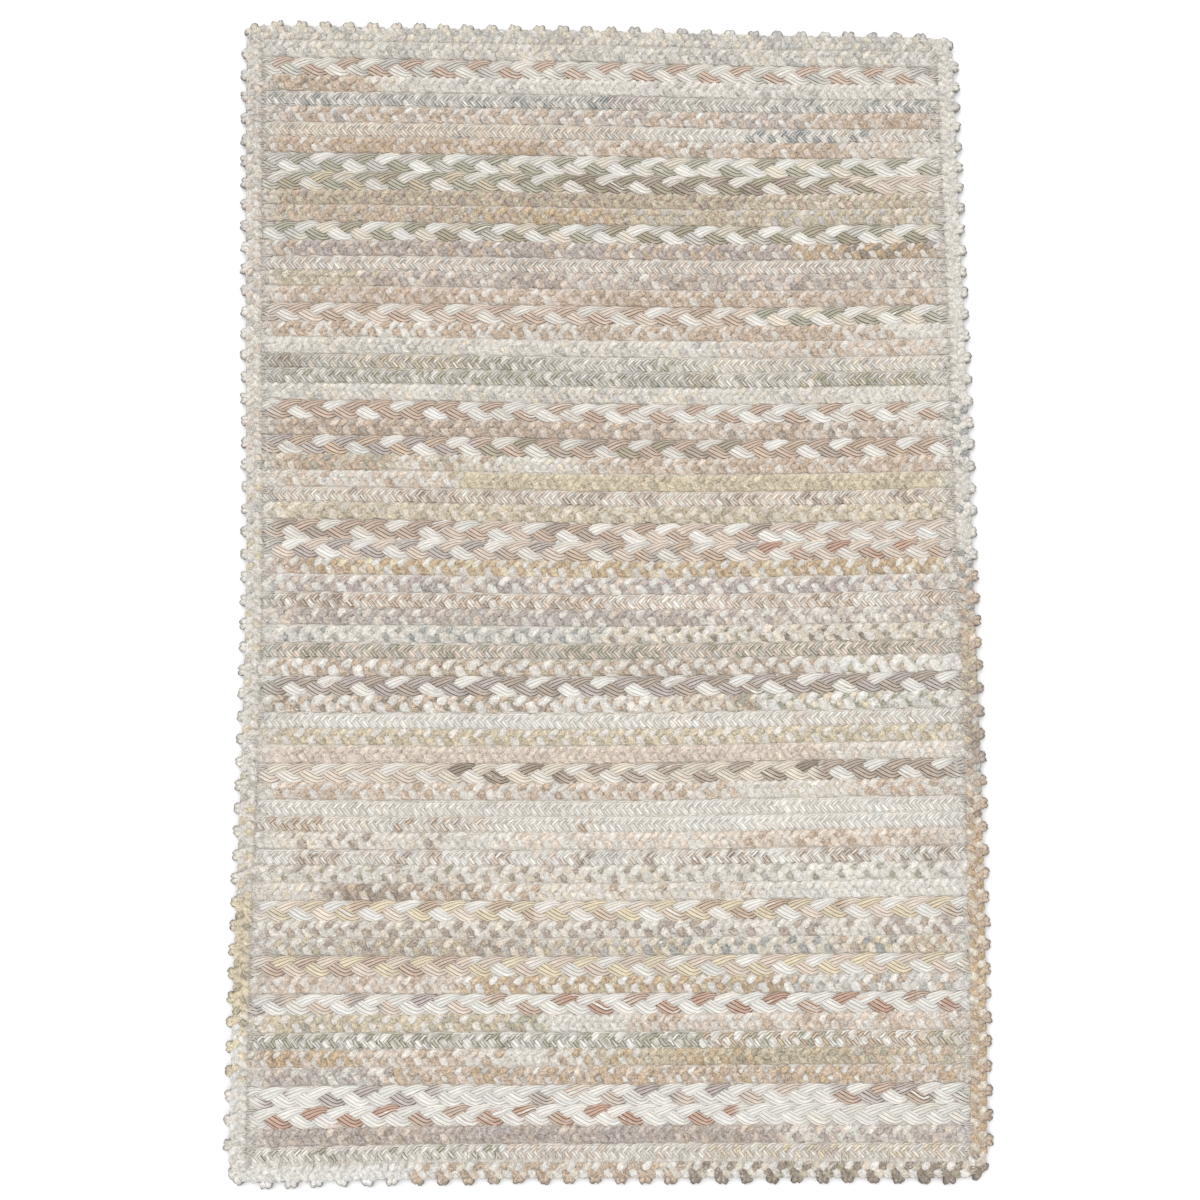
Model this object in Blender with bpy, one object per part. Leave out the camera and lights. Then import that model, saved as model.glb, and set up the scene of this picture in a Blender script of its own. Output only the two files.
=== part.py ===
"""Braided rug, 30 x 48 in (about 762 x 1219 mm), lying flat.

Sixty-five braids run across the rug and are laced edge to edge into one flat cloth, the field. A chenille
braid is sewn all round it as the border, and one bulky strand of that braid stands out as a row of picots.
Metres, +Z up. The origin is at the bottom centre of the rug's box: +Y runs along the rug, +X across it.
"""
from dataclasses import dataclass

import bmesh
import bpy
from mathutils import Matrix, Vector

MM = 0.001

# ---- Driving sizes -----------------------------------------------------------------------------------------

GAP = 0.3 * MM                  # between the field and the border, which touch in the real rug
GROOVE_HEIGHT = 5.0 * MM        # height of the laced groove between two courses
SHOULDERS = (0.28, 0.72)        # where a course reaches its full height, as shares of its width
TUCK_LENGTH = 15.0 * MM         # length of a course's end that is pressed flat under the border's stitches
TUCK_HEIGHT = 0.62              # height of the very end, as a share of the course's height
FIELD_COLUMNS = 12              # steps across the rug between the two tucked ends

BORDER_WIDTH = 17.7 * MM
PICOT_REACH = 6.5 * MM          # how far a picot stands out of the border's outer edge

MIDDLE_X = 5.3 * MM             # the box's centre, from the line that the side table is measured from
MIDDLE_Y = 1.0 * MM             # the box's centre, from the middle of the field's length


@dataclass(frozen=True)
class BraidKind:
    """One kind of braid that the rug is laid from."""

    width: float
    height: float


CHENILLE = BraidKind(width=17.6 * MM, height=11.0 * MM)   # fuzzy three-strand braid
FLAT = BraidKind(width=20.2 * MM, height=8.5 * MM)        # bundles of plied yarn, braided flat
FINE = BraidKind(width=16.3 * MM, height=9.5 * MM)        # smooth plied strands, braided tight

KIND_OF_LETTER = {"C": CHENILLE, "F": FLAT, "N": FINE}

# The courses, a letter each, from the far end (+Y) to the near end.
COURSE_ORDER = (
    "CFCNCNCFFCCFC"
    "NCCFCCNNCFCFC"
    "CNCFFCCNCCNCF"
    "CNCCFCNNCNCCF"
    "CCFCFCNCCFFCN"
)


@dataclass(frozen=True)
class SideStation:
    """The field's two side edges at one place along the rug, measured from the centre line."""

    share: float        # of the length, 0 at the near end and 1 at the far end
    left: float
    right: float


SIDE_STATIONS = (
    SideStation(share=0.00, left=-355.5 * MM, right=371.5 * MM),
    SideStation(share=0.15, left=-355.0 * MM, right=374.5 * MM),
    SideStation(share=0.35, left=-352.0 * MM, right=374.5 * MM),
    SideStation(share=0.50, left=-351.5 * MM, right=372.0 * MM),
    SideStation(share=0.70, left=-357.0 * MM, right=369.5 * MM),
    SideStation(share=0.85, left=-361.0 * MM, right=366.0 * MM),
    SideStation(share=1.00, left=-364.5 * MM, right=363.0 * MM),
)


@dataclass(frozen=True)
class BowStation:
    """How far a course strays along the rug, against its own middle, at one place along the rug."""

    share: float        # of the length, 0 at the near end and 1 at the far end
    left: float
    left_quarter: float
    right_quarter: float
    right: float

    def across(self) -> tuple[float, ...]:
        """The five values from left to right. The middle is the zero that the others are measured from."""
        return (self.left, self.left_quarter, 0.0, self.right_quarter, self.right)


BOW_STATIONS = (
    BowStation(share=0.00, left=-5.0 * MM, left_quarter=-1.0 * MM, right_quarter=0.5 * MM, right=0.0 * MM),
    BowStation(share=0.18, left=0.0 * MM, left_quarter=0.0 * MM, right_quarter=2.0 * MM, right=4.5 * MM),
    BowStation(share=0.42, left=1.5 * MM, left_quarter=0.5 * MM, right_quarter=3.0 * MM, right=6.5 * MM),
    BowStation(share=0.55, left=5.5 * MM, left_quarter=3.0 * MM, right_quarter=0.5 * MM, right=4.5 * MM),
    BowStation(share=0.85, left=4.5 * MM, left_quarter=3.0 * MM, right_quarter=-2.0 * MM, right=0.5 * MM),
    BowStation(share=1.00, left=7.0 * MM, left_quarter=3.0 * MM, right_quarter=-5.0 * MM, right=-7.5 * MM),
)
BOW_COLUMNS = (0.0, 0.25, 0.5, 0.75, 1.0)


@dataclass(frozen=True)
class SectionPoint:
    """A corner of the border's cross-section."""

    out: float          # share of the border's width, from the inner edge to the outer one
    up: float           # height
    picot: float        # share of the picot's reach that this corner takes


BORDER_SECTION = (
    SectionPoint(out=0.00, up=0.0 * MM, picot=0.0),
    SectionPoint(out=0.10, up=8.0 * MM, picot=0.0),
    SectionPoint(out=0.34, up=11.0 * MM, picot=0.0),
    SectionPoint(out=0.72, up=10.6 * MM, picot=0.1),
    SectionPoint(out=1.00, up=5.0 * MM, picot=1.0),
    SectionPoint(out=0.95, up=0.0 * MM, picot=0.8),
)


@dataclass(frozen=True)
class PicotStation:
    """The picot's outline over one pitch: two knuckles with a shallow dip between them."""

    along: float        # share of the pitch
    reach: float        # share of the picot's reach


PICOT_STATIONS = (
    PicotStation(along=0.21, reach=0.0),
    PicotStation(along=0.34, reach=1.0),
    PicotStation(along=0.50, reach=0.75),
    PicotStation(along=0.66, reach=1.0),
    PicotStation(along=0.79, reach=0.0),
)


@dataclass(frozen=True)
class Side:
    """One side of the border, with its ends as shares across and along the field."""

    start: tuple[float, float]
    end: tuple[float, float]
    picots: int
    turn: float         # radius of the border's inner edge in the corner at the side's end


# Anticlockwise from above: near, right, far, left. Each corner between two sides has one picot of its own.
SIDES = (
    Side(start=(0.0, 0.0), end=(1.0, 0.0), picots=28, turn=8.0 * MM),
    Side(start=(1.0, 0.0), end=(1.0, 1.0), picots=49, turn=4.0 * MM),
    Side(start=(1.0, 1.0), end=(0.0, 1.0), picots=28, turn=2.0 * MM),
    Side(start=(0.0, 1.0), end=(0.0, 0.0), picots=49, turn=7.0 * MM),
)

COURSES = tuple(KIND_OF_LETTER[letter] for letter in reversed(COURSE_ORDER))    # from the near end
FIELD_LENGTH = sum(course.width for course in COURSES)


# ---- The rug's plan ----------------------------------------------------------------------------------------

def smooth_line(places, values, place):
    """Read a smooth line that passes through every value at its place."""
    last = len(places) - 1
    span = next((i for i in range(last) if place <= places[i + 1]), last - 1)

    def slope(i):
        before, after = max(i - 1, 0), min(i + 1, last)
        return (values[after] - values[before]) / (places[after] - places[before])

    width = places[span + 1] - places[span]
    t = (place - places[span]) / width
    return (
        (1 + 2 * t) * (1 - t) ** 2 * values[span]
        + t * (1 - t) ** 2 * width * slope(span)
        + t * t * (3 - 2 * t) * values[span + 1]
        - t * t * (1 - t) * width * slope(span + 1)
    )


def side_edges(along):
    """The field's left and right edges at a share of the length."""
    places = [station.share for station in SIDE_STATIONS]
    left = smooth_line(places, [station.left for station in SIDE_STATIONS], along)
    right = smooth_line(places, [station.right for station in SIDE_STATIONS], along)
    return left, right


def bow(across, along):
    """How far a course strays along the rug at a share across it and a share of the length."""
    places = [station.share for station in BOW_STATIONS]
    columns = zip(*(station.across() for station in BOW_STATIONS))
    values = [smooth_line(places, column, along) for column in columns]
    return smooth_line(BOW_COLUMNS, values, across)


def plan_point(across, along):
    """A point of the field seen from above, from its shares across and along the rug."""
    left, right = side_edges(along)
    x = left + across * (right - left) - MIDDLE_X
    y = (along - 0.5) * FIELD_LENGTH + bow(across, along) - MIDDLE_Y
    return Vector((x, y, 0.0))


def outward_normal(side, t):
    """The way out of the rug, square to a side of it, at a share of the side's length."""
    step = 0.002
    start, end = Vector(side.start), Vector(side.end)
    run = plan_point(*start.lerp(end, min(t + step, 1.0))) - plan_point(*start.lerp(end, max(t - step, 0.0)))
    return Vector((run.y, -run.x, 0.0)).normalized()


@dataclass(frozen=True)
class Corner:
    """The turn between two sides, with its centre and the ways out of the rug before and after it."""

    centre: Vector
    radius: float
    out_before: Vector
    out_after: Vector

    def pull_in(self, point):
        """Bring a point of the field that lies outside the turn onto its arc."""
        arm = point - self.centre
        outside = arm.dot(self.out_before) > 0.0 and arm.dot(self.out_after) > 0.0 and arm.length > self.radius
        return self.centre + arm.normalized() * self.radius if outside else point


def corner_after(number):
    """The corner at the end of a side."""
    side, next_side = SIDES[number], SIDES[(number + 1) % len(SIDES)]
    out_before, out_after = outward_normal(side, 1.0), outward_normal(next_side, 0.0)
    centre = plan_point(*side.end) - side.turn * (out_before + out_after)
    return Corner(centre=centre, radius=side.turn, out_before=out_before, out_after=out_after)


# ---- The field: one solid, a rib for each course -----------------------------------------------------------

def field_rows():
    """The lines that run across the field, as (share of the length, height): grooves and shoulders."""
    rows = [(0.0, GROOVE_HEIGHT)]
    near_edge = 0.0
    for course in COURSES:
        rows += [((near_edge + share * course.width) / FIELD_LENGTH, course.height) for share in SHOULDERS]
        near_edge += course.width
        rows.append((near_edge / FIELD_LENGTH, GROOVE_HEIGHT))
    return rows


def field_columns():
    """The lines that run along the field, as (share across, share of the full height)."""
    left, right = side_edges(0.5)
    tuck = TUCK_LENGTH / (right - left)
    inner = [(tuck + (1 - 2 * tuck) * i / FIELD_COLUMNS, 1.0) for i in range(FIELD_COLUMNS + 1)]
    return [(0.0, TUCK_HEIGHT)] + inner + [(1.0, TUCK_HEIGHT)]


def make_field():
    """A grid raised in a rib for each course, with its rim drawn down to a flat underside."""
    rows, columns = field_rows(), field_columns()
    corners = [corner_after(number) for number in range(len(SIDES))]
    mesh = bmesh.new()
    grid = bmesh.ops.create_grid(mesh, x_segments=len(columns) - 1, y_segments=len(rows) - 1, size=0.5)
    for vertex in grid["verts"]:
        across, height_share = columns[round((vertex.co.x + 0.5) * (len(columns) - 1))]
        along, height = rows[round((vertex.co.y + 0.5) * (len(rows) - 1))]
        point = plan_point(across, along)
        for corner in corners:
            point = corner.pull_in(point)
        vertex.co = point
        vertex.co.z = height * height_share
    rim = [edge for edge in mesh.edges if edge.is_boundary]
    wall = bmesh.ops.extrude_edge_only(mesh, edges=rim)["geom"]
    for vertex in (item for item in wall if isinstance(item, bmesh.types.BMVert)):
        vertex.co.z = 0.0
    foot = [item for item in wall if isinstance(item, bmesh.types.BMEdge) and item.is_boundary]
    bmesh.ops.contextual_create(mesh, geom=foot)
    return mesh


# ---- The border: one closed ring lofted through its sections -----------------------------------------------

@dataclass(frozen=True)
class Station:
    """A place on the border's inner edge, the way out of the rug there, and the picot's reach."""

    foot: Vector
    outward: Vector
    reach: float


def side_stations(number):
    """The border's stations along one side, clear of the corners at its ends."""
    side = SIDES[number]
    start, end = Vector(side.start), Vector(side.end)
    length = (plan_point(*side.end) - plan_point(*side.start)).length
    first, last = SIDES[number - 1].turn / length, 1.0 - side.turn / length
    stations = []
    for pitch in range(side.picots):
        for picot in PICOT_STATIONS:
            t = first + (last - first) * (pitch + picot.along) / side.picots
            stations.append(Station(plan_point(*start.lerp(end, t)), outward_normal(side, t), picot.reach))
    return stations


def corner_stations(number):
    """The border's stations round the corner at the end of a side."""
    corner = corner_after(number)
    angle = corner.out_before.angle(corner.out_after)
    stations = []
    for picot in PICOT_STATIONS:
        outward = Matrix.Rotation(angle * picot.along, 3, "Z") @ corner.out_before
        stations.append(Station(corner.centre + corner.radius * outward, outward, picot.reach))
    return stations


def border_stations():
    """All stations of the border, in order round the rug."""
    stations = []
    for number in range(len(SIDES)):
        stations += side_stations(number) + corner_stations(number)
    return stations


def section_vertices(mesh, station):
    """One cross-section of the border, as vertices."""
    vertices = []
    for point in BORDER_SECTION:
        out = GAP + point.out * BORDER_WIDTH + point.picot * station.reach * PICOT_REACH
        vertices.append(mesh.verts.new(station.foot + out * station.outward + Vector((0.0, 0.0, point.up))))
    return vertices


def make_border():
    """A loft through unlike sections, because each picot swells and dips the outer edge."""
    mesh = bmesh.new()
    sections = [section_vertices(mesh, station) for station in border_stations()]
    for here, following in zip(sections, sections[1:] + sections[:1]):
        for i in range(len(here)):
            j = (i + 1) % len(here)
            mesh.faces.new((here[i], here[j], following[j], following[i]))
    return mesh


# ---- Objects -----------------------------------------------------------------------------------------------

def yarn_material(name, color, roughness):
    """A plain yarn material."""
    material = bpy.data.materials.new(name)
    material.use_nodes = True
    shader = material.node_tree.nodes["Principled BSDF"]
    shader.inputs["Base Color"].default_value = (*color, 1.0)
    shader.inputs["Roughness"].default_value = roughness
    shader.inputs["Metallic"].default_value = 0.0
    return material


def add_object(name, mesh, material, collection):
    """Finish a solid's mesh and put it in the collection as a named object."""
    bmesh.ops.recalc_face_normals(mesh, faces=mesh.faces)
    data = bpy.data.meshes.new(name)
    mesh.to_mesh(data)
    mesh.free()
    data.shade_smooth()
    data.set_sharp_from_angle(angle=1.2)
    data.materials.append(material)
    collection.objects.link(bpy.data.objects.new(name, data))


def main():
    """Clear the scene and build the rug's two solids."""
    for old in list(bpy.data.objects):
        bpy.data.objects.remove(old, do_unlink=True)
    collection = bpy.data.collections.new("braided_rug")
    bpy.context.scene.collection.children.link(collection)
    oatmeal = yarn_material("oatmeal_braids", color=(0.68, 0.60, 0.49), roughness=0.9)
    cream = yarn_material("cream_chenille", color=(0.76, 0.71, 0.62), roughness=0.95)
    add_object("field", make_field(), oatmeal, collection)
    add_object("border", make_border(), cream, collection)


main()
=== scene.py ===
"""Looks of the braided rug: its braids, border, lacing and sewing thread, on a pale floor in soft light.

The rug is laid from sixty-five three-strand braids, laced edge to edge, with a chenille braid sewn all round.
Every braid is modelled strand by strand: a short tube is repeated along a straight line, bent along the path
that a strand takes through its braid, and the finished braid is then laid along its own line of the rug.
Metres, +Z up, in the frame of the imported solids.
"""
import logging
import math
from dataclasses import dataclass
from enum import Enum

import bpy
import numpy as np
from mathutils import Matrix, Vector


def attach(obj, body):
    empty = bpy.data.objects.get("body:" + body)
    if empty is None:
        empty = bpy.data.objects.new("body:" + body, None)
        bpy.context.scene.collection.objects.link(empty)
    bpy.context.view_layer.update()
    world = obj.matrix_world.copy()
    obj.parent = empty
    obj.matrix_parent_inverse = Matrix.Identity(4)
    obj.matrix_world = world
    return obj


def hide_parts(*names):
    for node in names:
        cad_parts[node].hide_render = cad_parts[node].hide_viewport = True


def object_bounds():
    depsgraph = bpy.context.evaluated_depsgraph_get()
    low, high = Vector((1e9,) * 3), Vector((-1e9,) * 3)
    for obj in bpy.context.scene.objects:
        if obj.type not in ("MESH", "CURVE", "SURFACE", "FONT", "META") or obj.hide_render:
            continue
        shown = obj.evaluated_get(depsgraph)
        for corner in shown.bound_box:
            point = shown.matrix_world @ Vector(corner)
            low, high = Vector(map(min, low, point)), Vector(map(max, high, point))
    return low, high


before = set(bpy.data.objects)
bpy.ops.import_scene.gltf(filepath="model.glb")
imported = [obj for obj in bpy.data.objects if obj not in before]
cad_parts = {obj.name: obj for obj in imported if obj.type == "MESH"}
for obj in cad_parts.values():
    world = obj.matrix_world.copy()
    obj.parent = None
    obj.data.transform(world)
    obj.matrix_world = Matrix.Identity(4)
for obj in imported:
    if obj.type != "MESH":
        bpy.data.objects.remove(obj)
CAD_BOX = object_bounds()

MM = 0.001
TAU = 2.0 * math.pi
LOG = logging.getLogger("braided_rug")

GAP = 0.3 * MM                  # between the field and the border
TUCK_LENGTH = 15.0 * MM         # length of a course's end that is pressed flat under the border's stitches
TUCK_HEIGHT = 0.76              # height of the very end, as a share of the course's height
TUCK_UNDER = 4.0 * MM           # how far the ends run under the border
LACED_OVERLAP = 2.2 * MM        # how far the courses' lobes press into each other
STRAND_GIRTH = 22.0 * MM        # once round a strand
BORDER_WIDTH = 17.7 * MM
PICOT_REACH = 6.5 * MM          # how far a picot stands out of the border
MIDDLE_X = 5.3 * MM
MIDDLE_Y = 1.0 * MM


# ---- Yarns -------------------------------------------------------------------------------------------------

class Yarn(Enum):
    """The yarns that the rug is braided from, with their colours."""

    cream = "#D3CEC6"
    ivory = "#D7D4CE"
    sand = "#D1C8B9"
    blush = "#CDBFB2"
    peach = "#D3C7BA"
    wheat = "#CFC3AB"
    tan = "#BEAB98"
    camel = "#BDA78B"
    khaki = "#BEB39D"
    olive = "#A39B88"
    sage = "#AAA696"
    slate = "#A2A3A0"
    grey = "#BDB9B2"
    mauve = "#B3A9A3"
    taupe = "#ADA094"
    umber = "#988C7F"
    rose = "#BEAA9B"
    rust = "#B89A89"

    def linear(self) -> np.ndarray:
        """Return the colour as linear red, green and blue."""
        shares = np.array([int(self.value[i:i + 2], 16) for i in (1, 3, 5)]) / 255.0
        return np.where(shares <= 0.04045, shares / 12.92, ((shares + 0.055) / 1.055) ** 2.4)


@dataclass(frozen=True)
class Stretch:
    """A stretch of a braid in which its three strands keep their yarns.

    A strand with two yarns goes back and forth between them.
    """

    until: float                            # where it ends, as a share of the braid's length
    strands: tuple[tuple[Yarn, ...], ...]
    bulks: tuple[float, ...]                # how thick each strand is, as a share of the kind's own


BULK_OF_SIGN = {"+": 1.24, "-": 0.72}


def read_stretches(words: list[str]) -> tuple[Stretch, ...]:
    """Read a row of the yarn chart.

    Args:
        words: three strands' yarns, then the percentage of the length at which the next three begin, and so on.
            A plus sign after its yarns makes a strand fat, and a minus sign makes it thin.

    Returns:
        The row's stretches, in order.
    """
    stretches = []
    for start in range(0, len(words), 4):
        trio = words[start:start + 3]
        strands = tuple(tuple(Yarn[name] for name in word.rstrip("+-").split("/")) for word in trio)
        until = float(words[start + 3]) / 100.0 if start + 3 < len(words) else 1.0
        stretches.append(Stretch(until, strands, tuple(BULK_OF_SIGN.get(word[-1], 1.0) for word in trio)))
    return tuple(stretches)


# A row for each course, from the far end (+Y): its kind, then its yarns from left to right.
COURSE_CHART = (
    "C cream grey/cream grey/sand",
    "F grey/cream cream rose",
    "C tan+ sand- tan/umber 17 cream grey/cream cream",
    "N cream grey slate/grey 48 cream mauve/grey grey 72 cream slate/grey cream",
    "C blush ivory- mauve/tan 86 tan blush tan/cream",
    "N sand blush sand/grey 53 cream cream cream 73 cream slate cream/slate 83 cream cream blush/slate",
    "C tan blush/tan camel/cream- 45 tan/blush blush/cream tan/cream- 90 cream cream sand",
    "F grey ivory sage 33 sand/cream ivory sage",
    "F sage cream khaki/olive 45 olive cream umber/taupe 88 blush sand blush",
    "C khaki taupe/khaki tan- 72 khaki blush/tan sand-",
    "C tan+ blush/grey- tan/khaki 33 camel+ blush/grey- tan/khaki 55 khaki grey/tan khaki/sand",
    "F grey/sand ivory sage/olive",
    "C mauve cream/blush- mauve/tan 74 camel cream- tan/umber",
    "N grey blush/grey cream 11 grey/cream blush cream",
    "C khaki sand olive/khaki 18 mauve blush taupe/cream",
    "C tan tan/blush blush/cream",
    "F blush cream rose/tan 50 blush cream/ivory rose/tan 71 sand ivory sage",
    "C tan cream- tan/cream 45 tan blush- tan/cream 88 cream cream tan/cream",
    "C cream cream/grey sand/cream 69 blush/tan cream blush",
    "N taupe/sand sage grey 10 grey sand sage/khaki 33 grey cream sage/cream 60 cream cream/grey sand",
    "N grey/cream sage cream/grey 60 grey sage/cream khaki/cream",
    "C cream cream/grey sand/cream",
    "F rose ivory rose 31 rose cream ivory",
    "C tan blush taupe 50 blush tan/cream taupe/blush 89 cream cream blush",
    "F mauve cream/ivory tan 30 rose olive/taupe cream 70 rose taupe/tan ivory",
    "C tan sand/sage tan/khaki 16 tan/sand cream/sand khaki/sand 33 cream cream/sand cream 49 tan blush tan/cream",
    "C cream blush/tan cream/sand 31 wheat wheat/khaki khaki/wheat",
    "N blush taupe/cream sand/cream",
    "C khaki/wheat sand+ khaki-",
    "F rose taupe/rose cream 25 rose/blush blush/taupe ivory 75 blush ivory rose/blush",
    "F ivory mauve blush 35 cream mauve/tan blush 70 rust/rose cream blush",
    "C rose tan/cream cream 10 camel cream camel/wheat",
    "C mauve- ivory mauve/blush",
    "N blush cream+ tan/taupe 45 blush cream+ tan/cream",
    "C blush blush/cream mauve 8 mauve cream/blush grey/mauve 62 cream cream/blush grey/mauve",
    "C cream+ slate/grey- cream 20 cream+ slate- grey/cream 50 cream+ umber/olive- sand+",
    "N blush sage/sand grey/sage",
    "C ivory+ peach/taupe- tan 20 cream+ tan- taupe/khaki- 80 ivory+ khaki/cream- cream-",
    "F taupe mauve ivory",
    "C ivory+ umber/olive- blush/tan 35 ivory+ tan- taupe/cream- 55 sand+ tan- taupe/cream- 70 sage- ivory+ wheat/cream",
    "N cream ivory ivory 48 cream cream/blush ivory",
    "C khaki cream wheat",
    "C blush peach blush/peach 82 cream peach cream",
    "F sand cream blush 27 sand umber/taupe cream 55 sand umber/taupe sand 80 taupe ivory taupe/cream",
    "C tan blush/cream cream 65 cream cream cream/sand 82 cream blush/cream tan/cream",
    "N cream cream ivory/cream",
    "N cream tan/cream sand 20 cream cream/tan cream 50 cream cream/ivory ivory",
    "C taupe/cream cream sand 12 cream/taupe cream sand/cream 33 peach cream cream/peach 66 peach tan/cream peach",
    "N blush/cream ivory/taupe ivory",
    "C cream+ taupe/olive- cream/sand 60 cream+ sage/grey- cream",
    "C taupe/cream taupe/cream sand 12 taupe umber/taupe tan/cream 24 taupe tan sand/cream 36 cream tan/cream sand 70 cream ivory cream",
    "F wheat peach/tan ivory",
    "C taupe sand/cream cream 60 mauve/cream cream taupe/cream",
    "C grey taupe/khaki cream 16 taupe taupe/khaki grey/sand 34 grey taupe/khaki sand 55 khaki/cream slate/tan sand",
    "F rose wheat blush 30 wheat blush ivory",
    "C blush tan/blush cream 28 camel ivory khaki/tan 75 grey tan/cream ivory",
    "F ivory mauve/blush ivory 32 ivory rust/rose ivory",
    "C khaki/wheat khaki/sage cream 39 cream cream cream 55 blush tan/cream blush/cream",
    "N sage/grey ivory+ grey/sage 66 khaki/tan ivory+ sage/tan",
    "C camel cream- camel/blush 13 blush cream tan/cream 28 cream cream tan/cream 46 khaki cream/khaki camel/khaki 60 khaki camel/khaki khaki/olive 85 khaki tan/khaki sage/cream",
    "C mauve blush/grey mauve/cream 20 tan+ grey/ivory- camel/blush",
    "F ivory mauve/ivory ivory 40 ivory blush/mauve ivory 79 rose ivory ivory/mauve 95 ivory mauve ivory",
    "F ivory rust/rose ivory 50 ivory rust/ivory ivory 75 ivory ivory cream",
    "C mauve taupe/mauve blush/mauve 75 mauve mauve/cream blush/cream",
    "N cream sage/grey cream 33 cream blush/cream cream 60 cream blush/cream wheat",
)

# The border's yarns along each side, anticlockwise from the near left corner. The first strand is the bulky one.
BORDER_CHART = (
    "ivory ivory ivory 23 tan ivory sand/tan 60 umber ivory olive/sand",
    "tan camel sand 32 taupe umber/grey khaki/taupe 41 tan khaki/taupe blush/sand 48 cream cream/slate cream 68 cream cream cream",
    "grey/cream grey/cream sand/grey 50 sand grey cream/grey",
    "cream grey/cream blush/sand 40 cream wheat/grey cream 77 wheat khaki/olive wheat 87 cream cream ivory",
)


# ---- Helpers -----------------------------------------------------------------------------------------------

def pick(obj: bpy.types.Object) -> None:
    """Make this object the only one that is selected, and the active one."""
    bpy.ops.object.select_all(action="DESELECT")
    obj.select_set(True)
    bpy.context.view_layer.objects.active = obj


def apply_modifier(obj: bpy.types.Object, modifier: bpy.types.Modifier) -> None:
    """Apply a modifier to its object."""
    pick(obj)
    bpy.ops.object.modifier_apply(modifier=modifier.name)


def points_of(obj: bpy.types.Object) -> np.ndarray:
    """Return a mesh object's vertices, a row each."""
    flat = np.empty(len(obj.data.vertices) * 3)
    obj.data.vertices.foreach_get("co", flat)
    return flat.reshape(-1, 3)


def move_points(obj: bpy.types.Object, points: np.ndarray) -> None:
    """Put a mesh object's vertices at these places."""
    obj.data.vertices.foreach_set("co", np.ascontiguousarray(points).ravel())
    obj.data.update()


def join(objects: list[bpy.types.Object], name: str) -> bpy.types.Object:
    """Join objects into the first one.

    Args:
        objects: mesh objects.
        name: the joined object's name.

    Returns:
        The joined object.
    """
    pick(objects[0])
    for obj in objects[1:]:
        obj.select_set(True)
    bpy.ops.object.join()
    objects[0].name = name
    objects[0].data.name = name
    return objects[0]


def repeat_along_x(obj: bpy.types.Object, count: int, step: float, merge: bool) -> None:
    """Repeat a mesh along X with an Array modifier and apply it.

    Args:
        obj: the mesh object.
        count: the number of copies.
        step: the distance between two copies.
        merge: whether the copies' ends are merged.
    """
    array = obj.modifiers.new("repeat", "ARRAY")
    array.count = count
    array.use_relative_offset = False
    array.use_constant_offset = True
    array.constant_offset_displace = (step, 0.0, 0.0)
    array.use_merge_vertices = merge
    array.merge_threshold = 0.02 * MM
    apply_modifier(obj, array)


def lay_along(obj: bpy.types.Object, line: np.ndarray, closed: bool = False) -> None:
    """Bend a mesh that runs along X onto a line, with its Z kept up, by a Curve modifier that is applied.

    Args:
        obj: the mesh object.
        line: the line's points, a row each.
        closed: whether the line runs back to its start.
    """
    curve = bpy.data.curves.new("line", "CURVE")
    curve.dimensions = "3D"
    curve.twist_mode = "Z_UP"
    spline = curve.splines.new("POLY")
    spline.points.add(len(line) - 1)
    spline.points.foreach_set("co", np.c_[line, np.ones(len(line))].ravel())
    spline.use_cyclic_u = closed
    guide = bpy.data.objects.new("line", curve)
    bpy.context.scene.collection.objects.link(guide)
    bend = obj.modifiers.new("lay", "CURVE")
    bend.object = guide
    bend.deform_axis = "POS_X"
    apply_modifier(obj, bend)
    bpy.data.objects.remove(guide)
    bpy.data.curves.remove(curve)


def cut_across(obj: bpy.types.Object, x: float, keep_right: bool) -> None:
    """Cut a mesh square across at X and close the cut.

    Args:
        obj: the mesh object.
        x: where the cut is.
        keep_right: whether the side of higher X is kept.
    """
    pick(obj)
    bpy.ops.object.mode_set(mode="EDIT")
    bpy.ops.mesh.select_all(action="SELECT")
    way = -1.0 if keep_right else 1.0
    bpy.ops.mesh.bisect(
        plane_co=(x, 0.0, 0.0), plane_no=(way, 0.0, 0.0), use_fill=True, clear_outer=True, threshold=0.01 * MM
    )
    bpy.ops.object.mode_set(mode="OBJECT")


def straight_tube(length: float, steps: int, sides: int) -> bpy.types.Object:
    """Add an open tube that runs along X from zero, one ring of faces repeated by an Array modifier.

    Args:
        length: the tube's length.
        steps: the number of its rings of faces.
        sides: the number of its sides.

    Returns:
        The tube's object.
    """
    step = length / steps
    bpy.ops.object.select_all(action="DESELECT")
    bpy.ops.mesh.primitive_cylinder_add(
        vertices=sides, radius=1.0 * MM, depth=step, end_fill_type="NOTHING",
        location=(step / 2.0, 0.0, 0.0), rotation=(0.0, math.pi / 2.0, 0.0),
    )
    tube = bpy.context.object
    bpy.ops.object.transform_apply(location=True, rotation=True, scale=True)
    repeat_along_x(tube, steps, step, merge=True)
    return tube


def spokes_of(tube: bpy.types.Object, sides: int) -> np.ndarray:
    """Return each vertex's place round a straight tube, counted from its right edge over its top."""
    points = points_of(tube)
    return np.round(np.arctan2(points[:, 2], points[:, 1]) / TAU * sides).astype(int) % sides


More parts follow.
